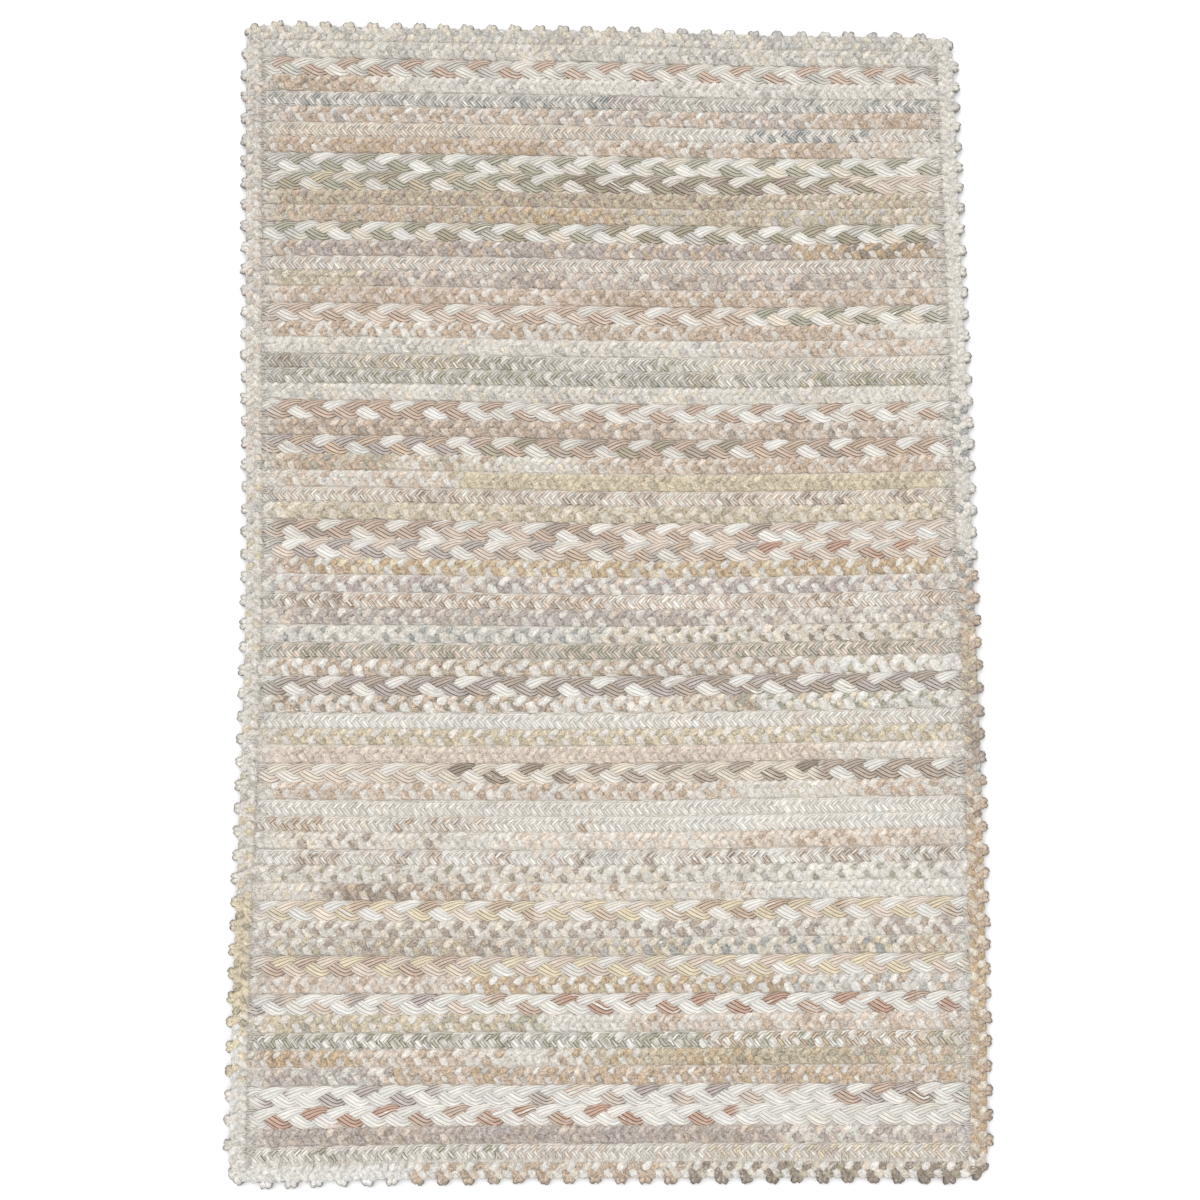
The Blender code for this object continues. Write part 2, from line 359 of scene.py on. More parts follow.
def map_tube(tube: bpy.types.Object, sides: int) -> None:
    """Give a straight tube its UV map: metres along it, and the share of a turn round it."""
    mesh = tube.data
    corners = np.empty(len(mesh.loops), int)
    mesh.loops.foreach_get("vertex_index", corners)
    ring = spokes_of(tube, sides)[corners].reshape(-1, 4).astype(float)
    ring += sides * ((ring.max(axis=1, keepdims=True) - ring) > sides / 2)
    along = points_of(tube)[corners, 0]
    layer = mesh.uv_layers.new(name="strand")
    layer.uv.foreach_set("vector", np.c_[along, ring.ravel() / sides].ravel())
    for other in [item for item in mesh.uv_layers if item.name != "strand"]:
        mesh.uv_layers.remove(other)


def wander(places: np.ndarray, step: float, rng: np.random.Generator) -> np.ndarray:
    """Return a smooth random line between -1 and 1, read at some places.

    Args:
        places: where it is read, in metres, from 0 up.
        step: the distance between two of its turns.
        rng: the random numbers.
    """
    knots = rng.uniform(-1.0, 1.0, int(np.ceil(max(float(places.max()), 0.0) / step)) + 3)
    at = np.clip(places / step, 0.0, len(knots) - 1.001)
    whole = at.astype(int)
    ease = at - whole
    ease = ease * ease * (3.0 - 2.0 * ease)
    return knots[whole] * (1.0 - ease) + knots[whole + 1] * ease


@dataclass(frozen=True)
class Colouring:
    """How the yarns of one strand differ from each other in tone, and the shade and light painted on them."""

    change: float = 0.04            # how far apart the three strands change their yarns, as a share of the length
    fleck: float = 17.0 * MM        # how far a strand with two yarns keeps one of them
    run: float = 9.0 * MM           # how far a yarn keeps its tone
    spread: float = 0.10            # how much lighter or darker a yarn is than its strand
    heather: float = 0.25           # the share of the other strands' fibres that stray over it
    crease_shade: float = 1.0             # how light the painted shade leaves a strand's two edges, where it dips under the others
    dip_shade: float = 0.0                # painted shade: how much darker a strand is where it goes under the others
    light: float = 1.0              # makes the yarn lighter, to make up for the painted shade in its furrows


def strand_tones(
    stretches: tuple[Stretch, ...], length: float, grid: np.ndarray, colouring: Colouring, rng: np.random.Generator
) -> list[np.ndarray]:
    """Work out the colour of each of a braid's three strands along it.

    Args:
        stretches: the braid's yarns.
        length: its length.
        grid: places along it.
        colouring: how its yarns differ.
        rng: the random numbers.

    Returns:
        For each strand, linear red, green and blue, a row for each place.
    """
    ends = np.array([stretch.until for stretch in stretches[:-1]])
    tones = []
    for number in range(3):
        shifted = grid / length + 0.3 * colouring.change * wander(grid, 40 * MM, rng)
        changes = np.sort(ends + rng.uniform(-colouring.change, colouring.change, len(ends)))
        which = np.searchsorted(changes, shifted)
        flecked = (0.5 + 2.5 * wander(grid, colouring.fleck, rng)).clip(0.0, 1.0)[:, None]
        tone = np.zeros((len(grid), 3))
        for index, stretch in enumerate(stretches):
            yarns = stretch.strands[number]
            here = which == index
            tone[here] = (yarns[0].linear() * (1.0 - flecked) + yarns[-1].linear() * flecked)[here]
        tones.append(tone * (1.0 + 0.04 * (wander(grid, 26 * MM, rng) + wander(grid, 90 * MM, rng)))[:, None])
    return tones


def dye_and_shade(
    stretches: tuple[Stretch, ...], length: float, along: np.ndarray, strand: np.ndarray, kind: "BraidKind",
    spoke: np.ndarray, inside: np.ndarray, rng: np.random.Generator,
) -> tuple[np.ndarray, np.ndarray]:
    """Work out the yarns' colours on a braid, with painted shade at the strands' edges and painted light towards the
    braid's sides.

    Args:
        stretches: the braid's yarns.
        length: its length.
        along: each vertex's place along it.
        strand: each vertex's strand, 0 to 2.
        kind: the braid's kind.
        spoke: each vertex's place round its strand.
        inside: how far each vertex is inside the braid, from 0 at its sides to 1.
        rng: the random numbers.

    Returns:
        A row for each vertex: the strand's own colour with how dark its shadows are, and a neighbouring
        strand's colour with the share of its fibres that stray over this one. Colours are linear.
    """
    colouring = kind.colouring
    grid = np.arange(0.0, length + 2.0 * MM, 1.5 * MM)
    tones = strand_tones(stretches, length, grid, colouring, rng)
    own, other = np.zeros((len(along), 4)), np.zeros((len(along), 4))
    for number in range(3):
        mine = np.flatnonzero(strand == number)
        x = along[mine]
        neighbour = np.where(wander(x, 1.3 * colouring.run, rng) > 0.0, (number + 1) % 3, (number + 2) % 3)
        for channel in range(3):
            curves = [np.interp(x, grid, tone[:, channel]) for tone in tones]
            own[mine, channel] = curves[number]
            other[mine, channel] = np.choose(neighbour, curves)
        for place in range(kind.sides):
            column = mine[spoke[mine] == place]
            at = along[column]
            own[column, 3] = paleness(own[column, :3])
            light = 1.0 + (colouring.light - 1.0) * (0.5 + 0.5 * own[column, 3])
            # painted light: the yarn is made lighter towards the braid's two sides, where the grooves between courses
            # lie in shade
            light *= 1.0 + colouring.spread * wander(at, colouring.run, rng) + 0.17 * (1.0 - inside[column])
            warmth = 0.02 * wander(at, 2.0 * colouring.run, rng)
            # painted shade: the strand's edges are darker, where it dips under the others
            light *= 1.0 - (1.0 - kind.shade_at(place)) * own[column, 3] * inside[column]
            own[column, :3] *= light[:, None] * np.c_[1.0 + warmth, np.ones(len(at)), 1.0 - warmth]
            other[column, :3] *= light[:, None]
            other[column, 3] = kind.stray_at(place, wander(at, 2.0 * colouring.run, rng))
    return own.clip(0.0, 1.0), other.clip(0.0, 1.0)


def paleness(colours: np.ndarray) -> np.ndarray:
    """Return how far shadows in a yarn show: 1 on a dark one, and less on a pale one, which light passes through."""
    return 1.0 - 0.6 * ((colours.mean(axis=1) - 0.42) / 0.30).clip(0.0, 1.0)


def store_colours(obj: bpy.types.Object, own: np.ndarray, other: np.ndarray) -> None:
    """Keep two colours for each vertex in the mesh's attributes that the finishes read.

    Args:
        obj: the mesh object.
        own: the yarn's colour, and how dark its shadows are.
        other: a second yarn's colour, and the share of its fibres.
    """
    for name, values in (("yarn_colour", own), ("stray_colour", other)):
        attribute = obj.data.color_attributes.new(name, "FLOAT_COLOR", "POINT")
        attribute.data.foreach_set("color", np.ascontiguousarray(values).ravel())


def read_numbers(obj: bpy.types.Object, name: str) -> np.ndarray:
    """Return one of a mesh's number attributes, a value for each vertex."""
    values = np.empty(len(obj.data.vertices), np.float32)
    obj.data.attributes[name].data.foreach_get("value", values)
    return values


def store_numbers(obj: bpy.types.Object, name: str, values: np.ndarray) -> None:
    """Keep a number for each vertex in an attribute of the mesh."""
    attribute = obj.data.attributes.new(name, "FLOAT", "POINT")
    attribute.data.foreach_set("value", np.ascontiguousarray(values, np.float32))


# ---- The rug's plan, as in the solids ----------------------------------------------------------------------

@dataclass(frozen=True)
class SideStation:
    """The field's two side edges at one place along the rug, measured from the centre line."""

    share: float
    left: float
    right: float


@dataclass(frozen=True)
class BowStation:
    """How far a course strays along the rug, against its own middle, at one place along the rug."""

    share: float
    left: float
    left_quarter: float
    right_quarter: float
    right: float

    def across(self) -> tuple[float, ...]:
        """Return the five values from left to right, with the middle as zero."""
        return (self.left, self.left_quarter, 0.0, self.right_quarter, self.right)


@dataclass(frozen=True)
class Side:
    """One side of the border, with its ends as shares across and along the field."""

    start: tuple[float, float]
    end: tuple[float, float]
    picots: int
    turn: float         # radius of the border's inner edge in the corner at the side's end


SIDE_STATIONS = (
    SideStation(share=0.00, left=-355.5 * MM, right=371.5 * MM),
    SideStation(share=0.15, left=-355.0 * MM, right=374.5 * MM),
    SideStation(share=0.35, left=-352.0 * MM, right=374.5 * MM),
    SideStation(share=0.50, left=-351.5 * MM, right=372.0 * MM),
    SideStation(share=0.70, left=-357.0 * MM, right=369.5 * MM),
    SideStation(share=0.85, left=-361.0 * MM, right=366.0 * MM),
    SideStation(share=1.00, left=-364.5 * MM, right=363.0 * MM),
)
BOW_STATIONS = (
    BowStation(share=0.00, left=-5.0 * MM, left_quarter=-1.0 * MM, right_quarter=0.5 * MM, right=0.0 * MM),
    BowStation(share=0.18, left=0.0 * MM, left_quarter=0.0 * MM, right_quarter=2.0 * MM, right=4.5 * MM),
    BowStation(share=0.42, left=1.5 * MM, left_quarter=0.5 * MM, right_quarter=3.0 * MM, right=6.5 * MM),
    BowStation(share=0.55, left=5.5 * MM, left_quarter=3.0 * MM, right_quarter=0.5 * MM, right=4.5 * MM),
    BowStation(share=0.85, left=4.5 * MM, left_quarter=3.0 * MM, right_quarter=-2.0 * MM, right=0.5 * MM),
    BowStation(share=1.00, left=7.0 * MM, left_quarter=3.0 * MM, right_quarter=-5.0 * MM, right=-7.5 * MM),
)
BOW_COLUMNS = (0.0, 0.25, 0.5, 0.75, 1.0)
SIDES = (
    Side(start=(0.0, 0.0), end=(1.0, 0.0), picots=28, turn=8.0 * MM),
    Side(start=(1.0, 0.0), end=(1.0, 1.0), picots=49, turn=4.0 * MM),
    Side(start=(1.0, 1.0), end=(0.0, 1.0), picots=28, turn=2.0 * MM),
    Side(start=(0.0, 1.0), end=(0.0, 0.0), picots=49, turn=7.0 * MM),
)


def smooth_line(places: tuple[float, ...], values: tuple[float, ...], place: float) -> float:
    """Read a smooth line that passes through every value at its place.

    Args:
        places: where the values are, in rising order.
        values: the line's values there.
        place: where the line is read.

    Returns:
        The line's value at the place.
    """
    last = len(places) - 1
    span = next((i for i in range(last) if place <= places[i + 1]), last - 1)

    def slope(i: int) -> float:
        """Return the line's slope at a value, from its two neighbours."""
        before, after = max(i - 1, 0), min(i + 1, last)
        return (values[after] - values[before]) / (places[after] - places[before])

    width = places[span + 1] - places[span]
    t = (place - places[span]) / width
    return (
        (1 + 2 * t) * (1 - t) ** 2 * values[span]
        + t * (1 - t) ** 2 * width * slope(span)
        + t * t * (3 - 2 * t) * values[span + 1]
        - t * t * (1 - t) * width * slope(span + 1)
    )


@dataclass(frozen=True)
class Plan:
    """The rug seen from above."""

    length: float       # of the field

    def point(self, across: float, along: float) -> Vector:
        """Return a point of the field.

        Args:
            across: share of the width, from the left edge.
            along: share of the length, from the near end.
        """
        places = [station.share for station in SIDE_STATIONS]
        left = smooth_line(places, [station.left for station in SIDE_STATIONS], along)
        right = smooth_line(places, [station.right for station in SIDE_STATIONS], along)
        shares = [station.share for station in BOW_STATIONS]
        columns = zip(*(station.across() for station in BOW_STATIONS))
        bow = smooth_line(BOW_COLUMNS, [smooth_line(shares, column, along) for column in columns], across)
        x = left + across * (right - left) - MIDDLE_X
        y = (along - 0.5) * self.length + bow - MIDDLE_Y
        return Vector((x, y, 0.0))

    def outward(self, side: Side, t: float) -> Vector:
        """Return the way out of the rug, square to a side of it, at a share of the side's length."""
        step = 0.002
        start, end = Vector(side.start), Vector(side.end)
        after = self.point(*start.lerp(end, min(t + step, 1.0)))
        run = after - self.point(*start.lerp(end, max(t - step, 0.0)))
        return Vector((run.y, -run.x, 0.0)).normalized()

    def course_line(self, along: float, steps: int = 40) -> np.ndarray:
        """Return the middle line of a course, from left to right, with its ends under the border."""
        line = np.array([self.point(i / steps, along) for i in range(steps + 1)])
        for end, neighbour in ((0, 1), (-1, -2)):
            run = line[end] - line[neighbour]
            line[end] += TUCK_UNDER * run / np.linalg.norm(run)
        return line

    def border_line(self, offset: float) -> tuple[np.ndarray, np.ndarray]:
        """Return a closed line round the rug, anticlockwise from the near left corner.

        Args:
            offset: its distance outside the field's edge.

        Returns:
            The line's points, and for each of them the number of picots passed.
        """
        points, passed = [], []
        count = 0
        for number, side in enumerate(SIDES):
            start, end = Vector(side.start), Vector(side.end)
            length = (self.point(*side.end) - self.point(*side.start)).length
            first, last = SIDES[number - 1].turn / length, 1.0 - side.turn / length
            steps = side.picots * 2
            for i in range(steps + 1):
                t = first + (last - first) * i / steps
                points.append(self.point(*start.lerp(end, t)) + offset * self.outward(side, t))
                passed.append(count + side.picots * i / steps)
            count += side.picots
            before, after = self.outward(side, 1.0), self.outward(SIDES[(number + 1) % 4], 0.0)
            centre = self.point(*side.end) - side.turn * (before + after)
            angle = before.angle(after)
            for i in range(1, 8):
                out = Matrix.Rotation(angle * i / 8, 3, "Z") @ before
                points.append(centre + (side.turn + offset) * out)
                passed.append(count + i / 8)
            count += 1
        return np.array(points), np.array(passed)


# ---- Finishes ----------------------------------------------------------------------------------------------

@dataclass(frozen=True)
class YarnFinish:
    """A yarn's surface. The dye, with its painted shade and light, comes from the mesh; the fibres' tones, with
    painted shade in their gaps and furrows and painted glints, come from here.
    """

    name: str
    sheen: float
    roughness: float
    fibre_length: float     # of the streaks that run along a strand
    fibre_width: float
    streak: float           # how much lighter and darker the streaks are
    tuft: float             # the size of a tuft
    mottle: float           # how much lighter and darker the tufts are
    pits: float             # how dark the painted shade in the thin gaps between the fibres is
    depth: float            # how far the fibres stand out
    hair: float = 0.0       # how much lighter the painted glint on a loose fibre is, and darker the painted shadow beside one
    hair_size: float = 3.4 * MM     # the distance between loose fibres
    furrow: float = 0.0     # how dark the painted shade in the furrows between a bundle's yarns is
    sides: int = 0          # of the bundle's tube
    stray_from: float = 0.72    # the noise, with the share of stray fibres added, over which such a fibre shows
    ply_pitch: float = 0.0  # the distance between two turns of the plied yarn
    ply_shade: float = 0.0

    def material(self) -> bpy.types.Material:
        """Return the finish's material, made on first use."""
        made = bpy.data.materials.get(self.name)
        if made:
            return made
        material = bpy.data.materials.new(self.name)
        material.use_nodes = True
        nodes = Nodes(material.node_tree)
        shader = material.node_tree.nodes["Principled BSDF"]
        shader.inputs["Roughness"].default_value = self.roughness
        shader.inputs["Sheen Weight"].default_value = self.sheen
        shader.inputs["Sheen Roughness"].default_value = 0.6
        shader.inputs["Specular IOR Level"].default_value = 0.15

        dyed_and_shaded, stray = nodes.colour("yarn_colour"), nodes.colour("stray_colour")
        place = nodes.add("ShaderNodeTexCoord").outputs["Object"]
        around = nodes.along_strand(place, self.fibre_length, self.fibre_width)
        streaks = nodes.noise(around, 1.0, 2.0)
        tufts = nodes.noise(place, 1.0 / self.tuft, 3.0)
        patches = nodes.noise(place, 0.2 / self.tuft, 2.0)
        shade = nodes.ranged(streaks, 1.0 - self.streak, 1.0 + self.streak)
        shade = nodes.maths("MULTIPLY", shade, nodes.ranged(tufts, 1.0 - self.mottle, 1.0 + self.mottle))
        # painted shade in the thin gaps between the fibres
        gaps = nodes.noise(nodes.along_strand(place, 0.6 * self.fibre_length, 0.7 * self.fibre_width, 7.0), 1.0, 1.0)
        pits = nodes.maths("MULTIPLY", nodes.ranged(gaps, 0.0, self.pits, 0.56, 0.70), dyed_and_shaded.outputs["Alpha"])
        shade = nodes.maths("MULTIPLY", shade, nodes.ranged(pits, 1.0, 0.0, 0.0, 1.0))
        height = nodes.maths("ADD", nodes.maths("MULTIPLY", streaks, self.depth),
                             nodes.maths("MULTIPLY", tufts, self.depth))
        if self.ply_pitch:
            turns = nodes.plies(self.ply_pitch)
            shade = nodes.maths("MULTIPLY", shade, nodes.ranged(turns, 1.0 - self.ply_shade, 1.0, -1.0, 1.0))
            height = nodes.maths("ADD", height, nodes.maths("MULTIPLY", turns, 0.1 * self.depth))

        # painted glints on loose fibres, and painted shadows beside them
        if self.hair:
            light_hair = nodes.hairs(place, self.hair_size, 0.0)
            dark_hair = nodes.hairs(place, 0.9 * self.hair_size, 5.0)
            glint = nodes.maths("MULTIPLY", light_hair, dyed_and_shaded.outputs["Alpha"])
            shade = nodes.maths("MULTIPLY", shade, nodes.ranged(glint, 1.0, 1.0 + 0.5 * self.hair, 0.0, 1.0))
            shadow = nodes.maths("MULTIPLY", dark_hair, dyed_and_shaded.outputs["Alpha"])
            shade = nodes.maths("MULTIPLY", shade, nodes.ranged(shadow, 1.0, 1.0 - 1.1 * self.hair, 0.0, 1.0))
            height = nodes.maths("ADD", height, nodes.maths("MULTIPLY", light_hair, 0.25 * self.depth))
        if self.furrow:
            # painted shade: dark lines in the furrows between the bundle's yarns
            lines = nodes.ranged(nodes.yarn_lines(self.sides), 0.0, self.furrow, 0.45, 0.92)
            lines = nodes.maths("MAXIMUM", lines, nodes.ranged(nodes.yarn_lines(2 * self.sides), 0.0, 0.2, 0.75, 1.0))
            lines = nodes.maths("MULTIPLY", lines, nodes.ranged(tufts, 0.6, 1.15))
            lines = nodes.maths("MULTIPLY", lines, dyed_and_shaded.outputs["Alpha"])
            shade = nodes.maths("MULTIPLY", shade, nodes.ranged(lines, 1.0, 0.0, 0.0, 1.0))

        warmth = nodes.ranged(patches, 0.985, 1.015)
        cast = nodes.add("ShaderNodeCombineXYZ")
        nodes.link(nodes.maths("MULTIPLY", shade, warmth), cast.inputs["X"])
        nodes.link(shade, cast.inputs["Y"])
        nodes.link(nodes.maths("DIVIDE", shade, warmth), cast.inputs["Z"])
        fibres = nodes.noise(nodes.along_strand(place, 0.7 * self.fibre_length, 0.8 * self.fibre_width, 3.0), 1.0, 2.0)
        astray = nodes.maths("ADD", fibres, stray.outputs["Alpha"])
        mixed = nodes.add("ShaderNodeMix")
        mixed.data_type = "RGBA"
        nodes.link(nodes.ranged(astray, 0.0, 1.0, self.stray_from, self.stray_from + 0.12), mixed.inputs["Factor"])
        nodes.link(dyed_and_shaded.outputs["Color"], mixed.inputs["A"])
        nodes.link(stray.outputs["Color"], mixed.inputs["B"])
        tint = nodes.add("ShaderNodeVectorMath")
        tint.operation = "MULTIPLY"
        nodes.link(mixed.outputs["Result"], tint.inputs[0])
        nodes.link(cast.outputs["Vector"], tint.inputs[1])
        nodes.link(tint.outputs["Vector"], shader.inputs["Base Color"])
        bump = nodes.add("ShaderNodeBump")
        bump.inputs["Distance"].default_value = 1.0
        bump.inputs["Strength"].default_value = 1.0
        nodes.link(height, bump.inputs["Height"])
        nodes.link(bump.outputs["Normal"], shader.inputs["Normal"])
        return material


class Nodes:
    """Adds shader nodes to a material, and links them."""

    def __init__(self, tree: bpy.types.NodeTree) -> None:
        """Keep the material's node tree."""
        self.tree = tree

    def add(self, kind: str) -> bpy.types.Node:
        """Add a node."""
        return self.tree.nodes.new(kind)

    def link(self, source: bpy.types.NodeSocket, target: bpy.types.NodeSocket) -> None:
        """Link two sockets."""
        self.tree.links.new(source, target)

    def colour(self, attribute: str) -> bpy.types.Node:
        """Add a node that reads one of the mesh's colours."""
        node = self.add("ShaderNodeVertexColor")
        node.layer_name = attribute
        return node

    def noise(
        self, place: bpy.types.NodeSocket, scale: float, detail: float, twist: float = 0.0
    ) -> bpy.types.NodeSocket:
        """Add a noise and return its value."""
        node = self.add("ShaderNodeTexNoise")
        node.inputs["Distortion"].default_value = twist
        node.inputs["Scale"].default_value = scale
        node.inputs["Detail"].default_value = detail
        self.link(place, node.inputs["Vector"])
        return node.outputs["Fac"]

    def maths(
        self, operation: str, first: bpy.types.NodeSocket, second: bpy.types.NodeSocket | float = 0.0
    ) -> bpy.types.NodeSocket:
        """Add a calculation with a value and another value or a number, and return its result."""
        node = self.add("ShaderNodeMath")
        node.operation = operation
        self.link(first, node.inputs[0])
        if isinstance(second, (int, float)):
            node.inputs[1].default_value = second
        else:
            self.link(second, node.inputs[1])
        return node.outputs[0]

    def ranged(
        self, value: bpy.types.NodeSocket, low: float, high: float, from_low: float = 0.3, from_high: float = 0.7
    ) -> bpy.types.NodeSocket:
        """Bring a value into a range and return it."""
        node = self.add("ShaderNodeMapRange")
        node.inputs["From Min"].default_value = from_low
        node.inputs["From Max"].default_value = from_high
        node.inputs["To Min"].default_value = low
        node.inputs["To Max"].default_value = high
        self.link(value, node.inputs["Value"])
        return node.outputs["Result"]

    def strand_map(self) -> tuple[bpy.types.NodeSocket, bpy.types.NodeSocket]:
        """Return the place along a strand, in metres, and round it, as a share of a turn."""
        node = self.add("ShaderNodeUVMap")
        node.uv_map = "strand"
        parts = self.add("ShaderNodeSeparateXYZ")
        self.link(node.outputs["UV"], parts.inputs["Vector"])
        return parts.outputs["X"], parts.outputs["Y"]

    def along_strand(
        self, place: bpy.types.NodeSocket, length: float, width: float, offset: float = 0.0
    ) -> bpy.types.NodeSocket:
        """Return a place for streaks that run along a strand.

        Args:
            place: the object's own coordinates, which tell one braid from the next.
            length: the streaks' length.
            width: their width.
            offset: sets one layer of streaks apart from another.
        """
        along, around = self.strand_map()
        across = self.add("ShaderNodeSeparateXYZ")
        self.link(place, across.inputs["Vector"])
        joined = self.add("ShaderNodeCombineXYZ")
        self.link(self.maths("MULTIPLY", along, 1.0 / length), joined.inputs["X"])
        self.link(self.maths("MULTIPLY", around, STRAND_GIRTH / width), joined.inputs["Y"])
        self.link(self.maths("MULTIPLY_ADD", across.outputs["Y"], 45.0), joined.inputs["Z"])
        joined.inputs["Z"].links[0].from_node.inputs[2].default_value = offset
        return joined.outputs["Vector"]

    def hairs(self, place: bpy.types.NodeSocket, size: float, offset: float) -> bpy.types.NodeSocket:
        """Return thin curly lines, 1 on a line and 0 away from it.

        Args:
            place: the object's own coordinates.
            size: the distance between two lines.
            offset: sets one layer of lines apart from another.
        """
        moved = self.add("ShaderNodeVectorMath")
        moved.operation = "ADD"
        self.link(place, moved.inputs[0])
        moved.inputs[1].default_value = (offset, offset, offset)
        value = self.noise(moved.outputs["Vector"], 1.0 / size, 1.0, twist=0.8)
        apart = self.maths("ABSOLUTE", self.maths("SUBTRACT", value, 0.5))
        return self.ranged(apart, 1.0, 0.0, 0.01, 0.075)

    def yarn_lines(self, sides: int) -> bpy.types.NodeSocket:
        """Return a wave round a bundle of yarns, 1 in its furrows and -1 on its yarns."""
        _, around = self.strand_map()
        return self.maths("COSINE", self.maths("MULTIPLY", around, sides * math.pi))

    def plies(self, pitch: float) -> bpy.types.NodeSocket:
        """Return the slanted turns of a plied yarn, between -1 and 1."""
        along, around = self.strand_map()
        slant = self.maths("MULTIPLY", around, 10.0 * TAU)
        return self.maths("SINE", self.maths("ADD", self.maths("MULTIPLY", along, TAU / pitch), slant))


CHENILLE_FINISH = YarnFinish(
    name="chenille", sheen=0.2, roughness=0.95, fibre_length=5.0 * MM, fibre_width=1.8 * MM, streak=0.15,
    tuft=1.8 * MM, mottle=0.08, pits=0.27, depth=1.1 * MM, hair=0.44,
)
COTTON_FINISH = YarnFinish(
    name="plied_cotton", sheen=0.15, roughness=0.85, fibre_length=8.0 * MM, fibre_width=1.2 * MM, streak=0.12,
    tuft=1.4 * MM, mottle=0.06, pits=0.25, depth=0.5 * MM, furrow=0.97, sides=11, stray_from=0.72,
    ply_pitch=3.0 * MM, ply_shade=0.10,
)
FINE_FINISH = YarnFinish(
    name="fine_cotton", sheen=0.15, roughness=0.85, fibre_length=6.0 * MM, fibre_width=1.3 * MM, streak=0.17,
    tuft=1.3 * MM, mottle=0.09, pits=0.32, depth=0.5 * MM, furrow=0.90, sides=9, stray_from=0.72,
    ply_pitch=2.4 * MM, ply_shade=0.10,
)
THREAD_FINISH = YarnFinish(
    name="lacing_thread", sheen=0.1, roughness=0.8, fibre_length=4.0 * MM, fibre_width=1.0 * MM, streak=0.06,
    tuft=1.2 * MM, mottle=0.05, pits=0.1, depth=0.2 * MM,
)


# ---- Braids ------------------------------------------------------------------------------------------------

class Section(Enum):
    """The cross-section of a strand."""

    ROVING = "roving"       # one soft round mass
    BUNDLE = "bundle"       # several yarns side by side


